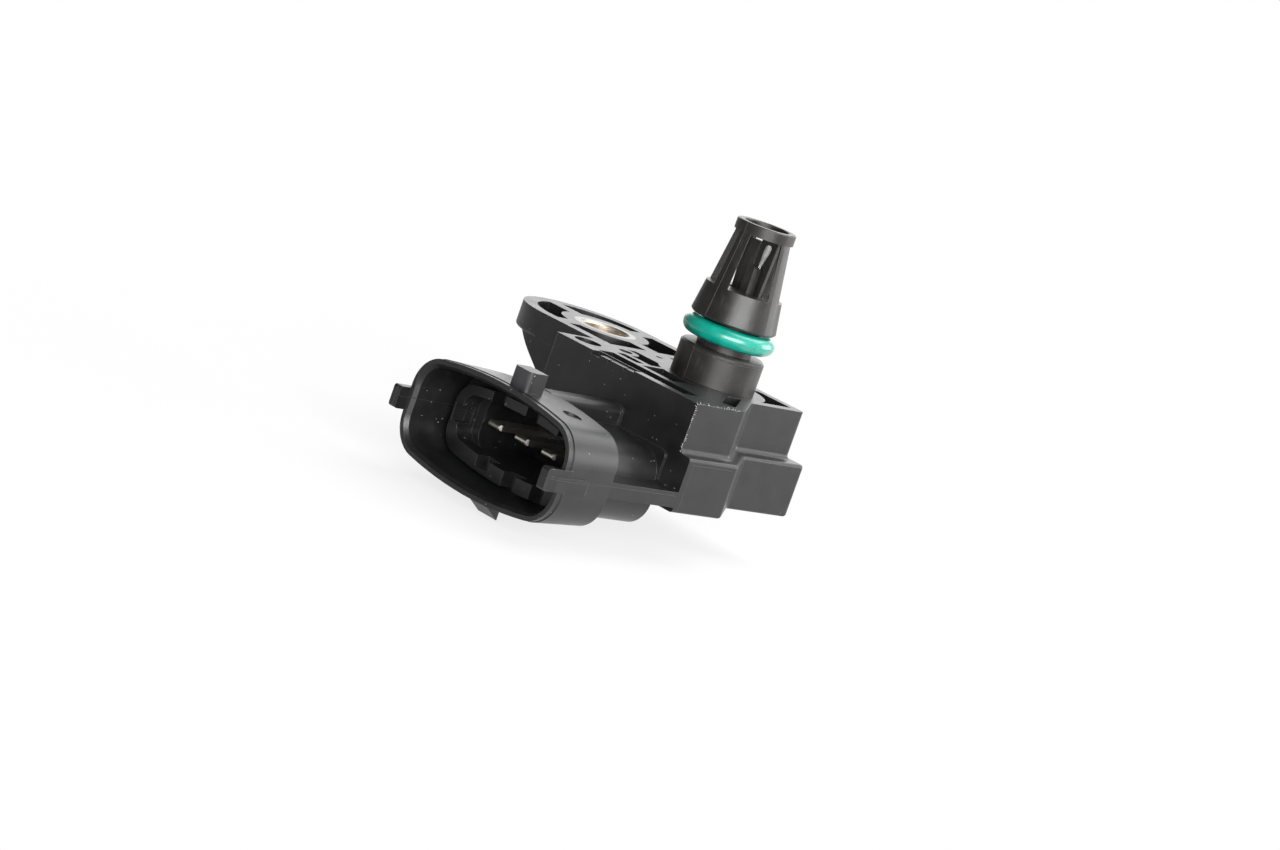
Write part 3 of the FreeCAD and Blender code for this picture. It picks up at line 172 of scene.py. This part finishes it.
# %% A tree under construction
class Nodes:
    """A shader's node tree that is filled call by call."""

    def __init__(self, tree):
        self.tree = tree
        self.tree.nodes.clear()

    def plug(self, socket, item):
        """Links a wrapped value to a socket, or sets the socket to a plain one."""
        if isinstance(item, Value):
            self.tree.links.new(item.socket, socket)
        else:
            socket.default_value = item

    def number(self, item):
        node = self.tree.nodes.new("ShaderNodeValue")
        node.outputs[0].default_value = item
        return Value(self, node.outputs[0])

    def node(self, kind, settings=None, inputs=None, output=0):
        node = self.tree.nodes.new(kind)
        for key, item in (settings or {}).items():
            setattr(node, key, item)
        for key, item in (inputs or {}).items():
            self.plug(node.inputs[key], item)
        return Value(self, node.outputs[output])

    def place(self):
        """Object coordinates, in metres."""
        return self.node("ShaderNodeTexCoord", output="Object")

    def axes(self):
        """The three object coordinates, each by itself."""
        place = self.place()
        return [self.node("ShaderNodeSeparateXYZ", {}, {0: place}, output=letter) for letter in "XYZ"]

    def dot(self, first, second):
        """How far two vectors point the same way."""
        return self.node("ShaderNodeVectorMath", {"operation": "DOT_PRODUCT"},
                         {0: first, 1: second}, output="Value")

    def distance(self, x, y):
        """How far the surface is from the upright line through x and y."""
        flat = self.node("ShaderNodeVectorMath", {"operation": "MULTIPLY_ADD"},
                         {0: self.place(), 1: (1, 1, 0), 2: (-x, -y, 0)})
        return self.node("ShaderNodeVectorMath", {"operation": "LENGTH"}, {0: flat}, output="Value")

    def rays(self):
        """1 for rays that leave the camera, for reflected ones, and for ones through clear solids."""
        kinds = "Is Camera Ray", "Is Glossy Ray", "Is Transmission Ray"
        return [self.node("ShaderNodeLightPath", output=kind) for kind in kinds]


# %% [markdown]
# A material adds its Principled shader to such a tree, and the patterns that plastics, rubber and
# metals share: noise, a bevelled normal that rounds sharp edges in the light, a mask of sharp edges
# that plastics paint pale as highlights, bump and specks of dust.

# %% A material under construction
class Look(Nodes):
    """A material with one Principled shader."""

    def __init__(self, name):
        self.material = bpy.data.materials.new(name)
        self.material.use_nodes = True
        super().__init__(self.material.node_tree)
        self.output = self.tree.nodes.new("ShaderNodeOutputMaterial")
        self.shader = self.tree.nodes.new("ShaderNodeBsdfPrincipled")
        self.tree.links.new(self.shader.outputs[0], self.output.inputs["Surface"])

    def noise(self, grain, detail=2.0, roughness=0.5, stretch=(1, 1, 1)):
        """Noise with grains of about that many metres."""
        spot = self.node("ShaderNodeMapping", {}, {"Vector": self.place(), "Scale": stretch})
        return self.node("ShaderNodeTexNoise", {},
                         {"Vector": spot, "Scale": 1.0 / grain, "Detail": detail,
                          "Roughness": roughness})

    def mix(self, factor, first, second):
        """A colour between two colours."""
        node = self.tree.nodes.new("ShaderNodeMix")
        node.data_type = "RGBA"
        self.plug(node.inputs["Factor"], factor)
        self.plug(node.inputs["A"], first)
        self.plug(node.inputs["B"], second)
        return Value(self, next(o for o in node.outputs if o.type == "RGBA"))

    def bump(self, height, depth, strength=1.0, before=None):
        """A normal that follows a height, on top of an earlier normal if one is given."""
        inputs = {"Height": height, "Distance": depth, "Strength": strength}
        if before is not None:
            inputs["Normal"] = before
        return self.node("ShaderNodeBump", {}, inputs)

    def rounded(self, radius):
        """A normal that turns smoothly over the sharp edges, so that they catch the light."""
        return self.node("ShaderNodeBevel", {"samples": 6}, {"Radius": radius})

    def edges(self, radius):
        """1 along sharp edges, 0 on flats, from how far a bevelled normal turns."""
        true_normal = self.node("ShaderNodeNewGeometry", output="Normal")
        same = self.dot(self.rounded(radius), true_normal)
        return (1.0 - same).between(0.01, 0.12)

    def specks(self, spacing, radius, share):
        """1 on small round specks, in a share of the cells of that spacing."""
        cells = {"Vector": self.place(), "Scale": 1.0 / spacing}
        away = self.node("ShaderNodeTexVoronoi", {}, cells, output="Distance")
        cell_colour = self.node("ShaderNodeTexVoronoi", {}, cells, output="Color")
        chance = self.node("ShaderNodeSeparateColor", {}, {0: cell_colour}, output="Red")
        return (away < radius / spacing) * (chance < share)

    def set(self, **inputs):
        """Sets inputs of the Principled shader, with _ for each space in their names."""
        for key, item in inputs.items():
            self.plug(self.shader.inputs[key.replace("_", " ")], item)


def crease(along, place, core, fade):
    """1 within core of a place on an axis, and 0 from fade on: a fine line across the surface."""
    return 1.0 - (along - place).size().between(core, fade)


def shade(look, *node_names):
    """Gives CAD nodes their material."""
    for node_name in node_names:
        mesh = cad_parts[node_name].data
        mesh.materials.clear()
        mesh.materials.append(look.material)
    print(look.material.name, "on", ", ".join(node_names))


# %% [markdown]
# ## Glass-filled black plastic
#
# The housing is moulded in black plastic with short glass fibres. It is not one flat black: the
# skin has a fine spark-eroded grain, the fibres leave faint streaks with a painted pale sheen, the
# edges are painted pale as highlights, and dust clings to the flats. The grain goes into the bump
# and the roughness, the rest into the colour.
# Tones are shares of the body's colour, so one function serves the housing and the port.

# %% The plastic
DARK, LIGHT, PALE = 0.82, 1.25, 4.5
DUST_COLOUR = (0.42, 0.42, 0.43, 1)
DUST_SPACING, DUST_RADIUS = mm(0.8), mm(0.065)
GRAIN_SIZE, CLOUD_SIZE, FIBRE_SIZE = mm(0.15), mm(2.6), mm(0.5)
FIBRE_STRETCH = (1, 1, 0.22)
# The second radius and the edge share set the edge highlight that is painted into the colour.
EDGE_RADIUS, EDGE_HIGHLIGHT_RADIUS = mm(0.10), mm(0.14)
GRAIN_DEPTH, SEAM_DEPTH = mm(0.010), mm(0.09)
EDGE_HIGHLIGHT_SHARE, SEAM_SHARE = 0.6, 0.7


def toned(colour, share):
    """A share of a colour, with alpha."""
    return tuple(part * share for part in colour) + (1,)


def moulded_plastic(name, colour, streaks_and_sheen, dust, seams, highlight_patch=None):
    """Black plastic: grain, fibre streaks with painted sheen, painted edge highlights, pale seams, dust.
    """
    look = Look(name)
    grain = look.noise(GRAIN_SIZE, 3.0, 0.6)
    cloud = look.noise(CLOUD_SIZE, 3.0, 0.5)
    fibres = look.noise(FIBRE_SIZE, 2.0, 0.6, stretch=FIBRE_STRETCH)
    pale = toned(colour, PALE)
    body = look.mix(cloud.between(0.35, 0.65), toned(colour, DARK), toned(colour, LIGHT))
    # Faint fibre streaks, painted pale as their sheen.
    body = look.mix(fibres.between(0.56, 0.74) * streaks_and_sheen, body, pale)
    # Sharp edges are painted pale as highlights.
    body = look.mix(look.edges(EDGE_HIGHLIGHT_RADIUS) * EDGE_HIGHLIGHT_SHARE, body, pale)
    body = look.mix(seams(look) * SEAM_SHARE, body, pale)
    # A patch painted pale as a highlight, mottled by the cloud, where one is given.
    if highlight_patch:
        body = look.mix(highlight_patch(look) * (cloud.between(0.3, 0.7) * 0.5 + 0.4), body, pale)
    body = look.mix(look.specks(DUST_SPACING, DUST_RADIUS, dust), body, DUST_COLOUR)
    rough = 0.38 + 0.10 * (grain - 0.5) + 0.14 * (cloud - 0.5) - 0.25 * streaks_and_sheen * (fibres - 0.5)
    skin = look.bump(grain, GRAIN_DEPTH, 0.55, before=look.rounded(EDGE_RADIUS))
    look.set(Base_Color=body, Roughness=rough, Normal=look.bump(seams(look), SEAM_DEPTH, before=skin),
             Specular_IOR_Level=0.5, Coat_Weight=0.15, Coat_Roughness=0.38)
    return look


# %% [markdown]
# The mould's marks differ from piece to piece, so each piece passes in a function that says where
# they are. On the housing they are the parting line round the connector, the corner where the
# block meets the flange, and a fine frame on the lower block's side. The front of the upright stub
# is painted pale as a highlight.

# %% The housing
PARTING_LEVEL = mm(-12.05)
PARTING_FRONT = mm(-17.6)
BLOCK_LEFT, BLOCK_FRONT = mm(-13.35), mm(-17.2)
FRAME_LEFT, FRAME_TOP, FRAME_CORNER = mm(-16.5), mm(-7.65), mm(-7.6)
FRAME_FACE, FRAME_END = mm(16.3), mm(-8.8)
STUB_FRONT, STUB_FOOT, STUB_LEFT, STUB_RIGHT = mm(-38.0), mm(-4.7), mm(1.2), mm(5.0)


def housing_seams(look):
    """The housing's mould lines."""
    x, y, z = look.axes()
    parting = crease(z, PARTING_LEVEL, mm(0.02), mm(0.07)) * (y < PARTING_FRONT)
    corner = crease(x, BLOCK_LEFT, mm(0.04), mm(0.10)) * (y < BLOCK_FRONT)
    upright = crease(y, FRAME_LEFT, mm(0.03), mm(0.08)) * (z < FRAME_CORNER)
    level = crease(z, FRAME_TOP, mm(0.03), mm(0.08)) * (y > FRAME_LEFT)
    return parting + corner * 0.6 + (upright + level) * (x > FRAME_FACE) * (y < FRAME_END)


def stub_front_highlight(look):
    """The front of the upright stub, where a highlight is painted pale."""
    x, y, z = look.axes()
    return (y < STUB_FRONT) * (z > STUB_FOOT) * (x > STUB_LEFT) * (x < STUB_RIGHT)


# The stub's front gets a painted highlight.
housing_plastic = moulded_plastic("housing_plastic", (0.0095, 0.0095, 0.0102), streaks_and_sheen=0.08,
                                  dust=0.32, seams=housing_seams, highlight_patch=stub_front_highlight)
shade(housing_plastic, "housing", "bottom_cover")


# %% [markdown]
# The port is a separate moulding, a little browner and more streaked, with more sheen painted pale
# along the streaks, and it carries no dust. Its parting line runs up the strut on the connector's
# side, and a worn line rings the lower collar.

# %% The port
STRUT_MIDDLE, STRUT_FACE, COLLAR_LINE = mm(0.15), mm(-3), mm(4.05)


def port_seams(look):
    """The port's mould lines."""
    x, y, z = look.axes()
    strut = crease(x, STRUT_MIDDLE, mm(0.03), mm(0.08)) * (y < STRUT_FACE)
    wear = look.noise(mm(1.2), 2.0, 0.5).between(0.42, 0.58)
    collar = crease(z, COLLAR_LINE, mm(0.03), mm(0.09)) * wear
    return strut + collar * 0.8


port_plastic = moulded_plastic("port_plastic", (0.016, 0.0142, 0.013), streaks_and_sheen=0.34, dust=0.0,
                               seams=port_seams)
shade(port_plastic, "pressure_port", "thermistor_carrier")


# %% [markdown]
# ## Green rubber
#
# The seal ring is smooth fluorocarbon rubber with a soft gloss, which a clear coat gives. The fine
# mould line round its middle is where the two halves of its mould met.

# %% The seal ring
rubber = Look("seal_rubber")
haze = rubber.noise(mm(1.4), 3.0, 0.55)
ring_low, ring_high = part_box("o_ring")
ring_level = (ring_low[2] + ring_high[2]) / 2
mould_line = crease(rubber.axes()[2], ring_level, mm(0.02), mm(0.06))
ring_skin = rubber.bump(rubber.noise(mm(0.25), 2.0, 0.5), mm(0.01), 0.4)
rubber.set(Base_Color=rubber.mix(haze.between(0.3, 0.7), (0.0, 0.30, 0.215, 1), (0.003, 0.37, 0.275, 1)),
           Roughness=0.30 + 0.15 * (haze - 0.5),
           Normal=rubber.bump(mould_line, mm(0.04), 0.8, before=ring_skin),
           Specular_IOR_Level=0.5, Coat_Weight=1.0, Coat_Roughness=0.24)
shade(rubber, "o_ring")


# %% [markdown]
# ## Metals
#
# Metal that is drawn or turned has fine lines along one axis, so the noise in its roughness and
# bump is stretched that way, and solder has none. The tint is a function too: most metals here are
# only a little cloudy, but the bush looks warm in its bore and grey on its end.

# %% Metals
BUSH_GREY, BUSH_WARM = (0.36, 0.355, 0.345, 1), (0.62, 0.53, 0.43, 1)
BUSH_BORE, BUSH_CHAMFER = mm(3.2), mm(3.6)


def cloudy(colour):
    """A tint that is darker in soft patches."""
    return lambda look: look.mix(look.noise(mm(1.5)), toned(colour, DARK), toned(colour, 1.0))


def warm_bore(look):
    """The bush's tint, by distance from its axis."""
    low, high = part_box("mounting_bush")
    from_axis = look.distance((low[0] + high[0]) / 2, (low[1] + high[1]) / 2)
    return look.mix(from_axis.between(BUSH_BORE, BUSH_CHAMFER), BUSH_WARM, BUSH_GREY)


def metal(name, tint, rough, grain, stretch):
    """Metal with a tint and fine lines along the axis whose stretch is smallest."""
    look = Look(name)
    lines = look.noise(grain, 3.0, 0.6, stretch=stretch)
    look.set(Base_Color=tint(look), Metallic=1.0, Roughness=rough + 0.2 * (lines - 0.5),
             Normal=look.bump(lines, mm(0.01), 0.4, before=look.rounded(mm(0.08))))
    return look


ALONG_Y, ALONG_Z, NO_LINES = (1, 0.08, 1), (1, 1, 0.1), (1, 1, 1)
shade(metal("bush_metal", warm_bore, 0.44, mm(0.3), ALONG_Z), "mounting_bush")
shade(metal("terminal_metal", cloudy((0.80, 0.77, 0.68)), 0.36, mm(0.3), ALONG_Y),
      *(f"terminal_{i}" for i in range(1, 5)))
shade(metal("solder", cloudy((0.62, 0.62, 0.62)), 0.25, mm(0.4), NO_LINES),
      *(f"solder_joint_{i}" for i in range(1, 5)))
shade(metal("lead_metal", cloudy((0.6, 0.58, 0.54)), 0.3, mm(0.2), ALONG_Z),
      "thermistor_lead_1", "thermistor_lead_2")


# %% [markdown]
# ## The thermistor
#
# Its bead is dipped in a grey coating that dries to a glossy drop, slightly uneven in thickness.

# %% The thermistor's coating
coating = Look("thermistor_coating")
thickness = coating.noise(mm(0.8)).between(0.3, 0.7)
coating.set(Base_Color=coating.mix(thickness, (0.20, 0.20, 0.20, 1), (0.28, 0.28, 0.28, 1)),
            Roughness=0.22, Coat_Weight=0.6, Coat_Roughness=0.1,
            Normal=coating.bump(coating.noise(mm(0.3)), mm(0.02), 0.5))
shade(coating, "thermistor_drop")


# %% [markdown]
# ## What is inside
#
# Nobody sees the board until the cover comes off, but a part in a library may be cut open or
# exploded, so each inner piece gets a finish of its own too. A table lists them: the nodes, the
# two colours between which the finish wanders, its roughness, and its grain in millimetres.

# %% Plain finishes for the inner pieces
CAPACITORS = ("capacitor_1", "capacitor_2", "capacitor_3")
FINISHES = (
    ("adhesive", ("cover_adhesive", "port_adhesive"),
     (0.10, 0.10, 0.11), (0.14, 0.14, 0.15), 0.5, 0.6),
    ("ceramic", ("circuit_board",), (0.74, 0.73, 0.69), (0.82, 0.81, 0.78), 0.55, 0.3),
    ("seal_silicone", ("chamber_seal",), (0.20, 0.20, 0.22), (0.27, 0.27, 0.29), 0.6, 0.5),
    ("cell_plastic", ("cell_frame",), (0.035, 0.035, 0.037), (0.05, 0.05, 0.052), 0.5, 0.2),
    ("pedestal_glass", ("glass_pedestal",), (0.74, 0.82, 0.8), (0.8, 0.88, 0.86), 0.15, 0.4),
    ("silicon", ("pressure_die",), (0.12, 0.12, 0.15), (0.18, 0.18, 0.22), 0.12, 0.3),
    ("gel", ("protective_gel",), (0.7, 0.73, 0.75), (0.78, 0.8, 0.82), 0.08, 1.0),
    ("chip_plastic", ("signal_chip",), (0.03, 0.03, 0.03), (0.045, 0.045, 0.045), 0.6, 0.15),
    ("capacitor_ceramic", CAPACITORS, (0.5, 0.41, 0.3), (0.6, 0.5, 0.38), 0.5, 0.25))
CLEARNESS = {"pedestal_glass": 0.6, "gel": 0.85}

for slot, node_names, darker, lighter, rough, grain in FINISHES:
    finish = Look(slot)
    mask = finish.noise(mm(grain), 3.0, 0.55)
    finish.set(Base_Color=finish.mix(mask.between(0.3, 0.7), darker + (1,), lighter + (1,)),
               Roughness=rough + 0.1 * (mask - 0.5), Normal=finish.bump(mask, mm(0.01), 0.3),
               Transmission_Weight=CLEARNESS.get(slot, 0.0))
    shade(finish, *node_names)


# %% [markdown]
# ## Flash on the moulded edges
#
# Where the mould's halves meet, a little plastic creeps out and tears off as fine burrs. On the
# real part they sit on the corner of the block beside the port. They follow an edge and no two are
# alike, which is work for Geometry Nodes: the tree divides a path into points, puts a thin sliver
# on each, and gives it a random length, turn and tilt. One tree serves both edges.

# %% A tree that grows burrs along a path
MOST_TILT, MOST_TURN = 1.1, 3.1
SHORTEST, LONGEST = 0.15, 1.0


def flash_tree(material):
    """Slivers along a path, as a node group with its sizes as inputs."""
    tree = bpy.data.node_groups.new("flash_along_edge", "GeometryNodeTree")
    inputs = {"Geometry": ("NodeSocketGeometry", None), "Spacing": ("NodeSocketFloat", mm(0.3)),
              "Length": ("NodeSocketFloat", mm(0.3)), "Thickness": ("NodeSocketFloat", mm(0.03)),
              "Seed": ("NodeSocketInt", 1)}
    for name, (kind, start) in inputs.items():
        socket = tree.interface.new_socket(name, in_out="INPUT", socket_type=kind)
        if start is not None:
            socket.default_value = start
    tree.interface.new_socket("Geometry", in_out="OUTPUT", socket_type="NodeSocketGeometry")

    def add(kind, settings=None, links=None):
        node = tree.nodes.new(kind)
        for key, item in (settings or {}).items():
            setattr(node, key, item)
        for key, item in (links or {}).items():
            if isinstance(item, bpy.types.NodeSocket):
                tree.links.new(item, node.inputs[key])
            else:
                node.inputs[key].default_value = item
        return node

    given = add("NodeGroupInput").outputs
    curve = add("GeometryNodeMeshToCurve", {}, {"Mesh": given["Geometry"]})
    points = add("GeometryNodeCurveToPoints", {"mode": "LENGTH"},
                 {"Curve": curve.outputs[0], "Length": given["Spacing"]})
    sliver = add("GeometryNodeMeshCone", {},
                 {"Vertices": 5, "Radius Top": 0.0, "Radius Bottom": 1.0, "Depth": 2.0})
    tilt = add("FunctionNodeRandomValue", {"data_type": "FLOAT_VECTOR"},
               {"Min": (-MOST_TILT, -MOST_TILT, -MOST_TURN), "Max": (MOST_TILT, MOST_TILT, MOST_TURN),
                "Seed": given["Seed"]})
    stretch = add("FunctionNodeRandomValue", {"data_type": "FLOAT"},
                  {2: SHORTEST, 3: LONGEST, "Seed": given["Seed"]})
    tall = add("ShaderNodeMath", {"operation": "MULTIPLY"}, {0: stretch.outputs[1], 1: given["Length"]})
    scale = add("ShaderNodeCombineXYZ", {},
                {0: given["Thickness"], 1: given["Thickness"], 2: tall.outputs[0]})
    placed = add("GeometryNodeInstanceOnPoints", {},
                 {"Points": points.outputs["Points"], "Instance": sliver.outputs["Mesh"],
                  "Rotation": tilt.outputs[0], "Scale": scale.outputs[0]})
    real = add("GeometryNodeRealizeInstances", {}, {0: placed.outputs[0]})
    dressed = add("GeometryNodeSetMaterial", {}, {"Geometry": real.outputs[0], "Material": material})
    add("NodeGroupOutput", {}, {"Geometry": dressed.outputs[0]})
    return tree


# %% [markdown]
# A piece of the part has to be a plain mesh, so the tree runs on a short-lived guide, its result
# is copied, and the guide is removed. The inputs of a node modifier are set by their identifiers.

# %% Run the tree on a path
def grow(name, path, tree, sizes, material):
    """A plain mesh of what the tree makes along a path."""
    line = bpy.data.meshes.new(name + "_path")
    line.from_pydata([tuple(point) for point in path], [(i, i + 1) for i in range(len(path) - 1)], [])
    guide = bpy.data.objects.new(name + "_guide", line)
    scene.collection.objects.link(guide)
    run = guide.modifiers.new("flash", "NODES")
    run.node_group = tree
    for item in tree.interface.items_tree:
        if item.in_out == "INPUT" and item.name in sizes:
            run[item.identifier] = sizes[item.name]
    guide.update_tag()
    grown = guide.evaluated_get(bpy.context.evaluated_depsgraph_get())
    mesh = bpy.data.meshes.new_from_object(grown)
    mesh.name = name
    mesh.materials.clear()
    mesh.materials.append(material)
    guide.modifiers.clear()
    bpy.data.objects.remove(guide)
    piece = bpy.data.objects.new(name, mesh)
    scene.collection.objects.link(piece)
    print(name, "burrs' faces:", len(mesh.polygons))
    return piece


# %% Burrs on the block's corner
CORNER_X, CORNER_Y = 14.28, -17.38
UPPER_FOOT, UPPER_TOP, DECK, TOP_RUN = -6.6, -0.1, -0.08, 8.5

flash_plastic = Look("flash_plastic")
wisp = flash_plastic.noise(mm(0.4), 2.0, 0.5)
flash_plastic.set(Base_Color=flash_plastic.mix(wisp, (0.30, 0.30, 0.302, 1), (0.80, 0.80, 0.805, 1)),
                  Roughness=0.4 + 0.1 * (wisp - 0.5), Normal=flash_plastic.bump(wisp, mm(0.01), 0.3))
burrs = flash_tree(flash_plastic.material)
upright_path = [mm(CORNER_X, CORNER_Y, UPPER_FOOT), mm(CORNER_X, CORNER_Y, UPPER_TOP)]
top_path = [mm(CORNER_X, CORNER_Y, DECK), mm(CORNER_X, CORNER_Y + TOP_RUN, DECK)]
upright_sizes = {"Spacing": mm(0.28), "Length": mm(0.26), "Thickness": mm(0.06), "Seed": 5}
top_sizes = {"Spacing": mm(0.35), "Length": mm(0.30), "Thickness": mm(0.05), "Seed": 9}
for name, path, sizes in (("flash_upright", upright_path, upright_sizes),
                          ("flash_top", top_path, top_sizes)):
    burr = grow(name, path, burrs, sizes, flash_plastic.material)
    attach(burr, "root")


# %% [markdown]
# ## The stage
#
# The sensor stands on a plain white floor in front of a white backdrop. Both show the camera a
# clean white, but pass on only a normal amount of light, so that the black plastic keeps its
# shadows: the Light Path node tells the kinds of ray apart. Close to the sensor the camera sees a
# little of the real floor, which carries the soft shadow. Reflections see the floor white as well,
# but dark on the connector's side, because the faces that look that way are nearly black in the
# photograph.

# %% Floor
FLOOR_DROP, FLOOR_HALF = mm(0.4), 0.9
SHADOW_NEAR, SHADOW_FAR, SHADOW_SHARE = 0.05, 0.12, 0.22
CONNECTOR_SIDE = (-0.67, -0.74, 0)

floor_height = cad_box[0][2] - FLOOR_DROP
corners = [(-FLOOR_HALF, -FLOOR_HALF, floor_height), (FLOOR_HALF, -FLOOR_HALF, floor_height),
           (FLOOR_HALF, FLOOR_HALF, floor_height), (-FLOOR_HALF, FLOOR_HALF, floor_height)]
floor_mesh = bpy.data.meshes.new("floor")
floor_mesh.from_pydata(corners, [], [(0, 1, 2, 3)])
floor = bpy.data.objects.new("floor", floor_mesh)
scene.collection.objects.link(floor)

paper = Look("paper")
camera_ray, glossy_ray, clear_ray = paper.rays()
grey = paper.mix(paper.noise(mm(30)), (0.54, 0.54, 0.545, 1), (0.56, 0.56, 0.565, 1))
paper.set(Base_Color=paper.mix(camera_ray, grey, (0.93, 0.93, 0.935, 1)), Roughness=0.9,
          Specular_IOR_Level=0.1)
away = paper.distance(0, 0).between(SHADOW_NEAR, SHADOW_FAR)
dark_side = paper.dot(paper.place(), CONNECTOR_SIDE).between(0.0, 0.05)
shown = (camera_ray + clear_ray) * (away * SHADOW_SHARE + (1.0 - SHADOW_SHARE))
shown = shown + glossy_ray * (1.0 - dark_side * 0.95)
glow = paper.node("ShaderNodeEmission", {}, {"Color": (1, 1, 1, 1), "Strength": 1.0})
matte = Value(paper, paper.shader.outputs[0])
surface = paper.node("ShaderNodeMixShader", {}, {0: shown, 1: matte, 2: glow})
paper.plug(paper.output.inputs["Surface"], surface)
floor_mesh.materials.append(paper.material)
print("floor at", round(floor_height / MM, 1), "mm")


# %% [markdown]
# The world is the backdrop. To the camera it is white all round. To the lighting it is a dim fill,
# and reflections see it white only behind the sensor, so the tops shine and the connector's side
# stays black.

# %% The room
BACKDROP_SIDE, BACKDROP_FADE, BACKDROP_SHARE = (0.35, 0.93, 0.0), 0.35, 0.85
FILL = 0.09

world = bpy.data.worlds.new("studio")
scene.world = world
world.use_nodes = True
room = Nodes(world.node_tree)
camera_ray, glossy_ray, clear_ray = room.rays()
aim = room.node("ShaderNodeTexCoord", output="Generated")
backdrop = room.dot(aim, BACKDROP_SIDE).between(-BACKDROP_FADE, BACKDROP_FADE)
fill = room.node("ShaderNodeBackground", {}, {"Color": (1, 1, 1, 1), "Strength": FILL})
white = room.node("ShaderNodeBackground", {}, {"Color": (1, 1, 1, 1), "Strength": 1.0})
shown = (camera_ray + clear_ray + glossy_ray * backdrop * BACKDROP_SHARE).maths("MINIMUM", 1.0)
blend = room.node("ShaderNodeMixShader", {}, {0: shown, 1: fill, 2: white})
sky = room.tree.nodes.new("ShaderNodeOutputWorld")
room.plug(sky.inputs["Surface"], blend)
print("world nodes:", len(room.tree.nodes))


# %% [markdown]
# ## Soft lights
#
# Four soft boxes light the sensor: one above, one in front on the right that gives the port its
# highlight and the blocks their grey, and two behind that draw the edges. Each is nearly as wide as
# it is far away, so the shadows stay soft, and the camera doesn't see them.

# %% Soft boxes
LIT_POINT = mm(0, -10, -4)
SOFT_BOXES = (
    # name, place, width and height in metres, power in watts
    ("top_box", (0.05, 0.20, 0.45), 0.50, 0.50, 2.3),
    ("right_box", (0.24, 0.50, 0.12), 0.40, 0.26, 1.2),
    ("front_box", (0.44, -0.30, 0.14), 0.50, 0.28, 4.5),
    ("back_box", (-0.39, 0.43, 0.17), 0.50, 0.36, 0.7))

for name, place, wide, tall, power in SOFT_BOXES:
    lamp_data = bpy.data.lights.new(name, "AREA")
    lamp_data.shape = "RECTANGLE"
    lamp_data.size, lamp_data.size_y, lamp_data.energy = wide, tall, power
    lamp = bpy.data.objects.new(name, lamp_data)
    scene.collection.objects.link(lamp)
    direction = (LIT_POINT - Vector(place)).normalized()
    lamp.rotation_mode = "QUATERNION"
    lamp.rotation_quaternion = direction.to_track_quat("-Z", "Y")
    lamp.location = place
    lamp.visible_camera = False
    print(name, power, "W")


# %% [markdown]
# ## Closing
#
# The picture uses the plain Standard view, so a colour above is the colour that is seen.

# %% Standard colours
scene.view_settings.view_transform = "Standard"
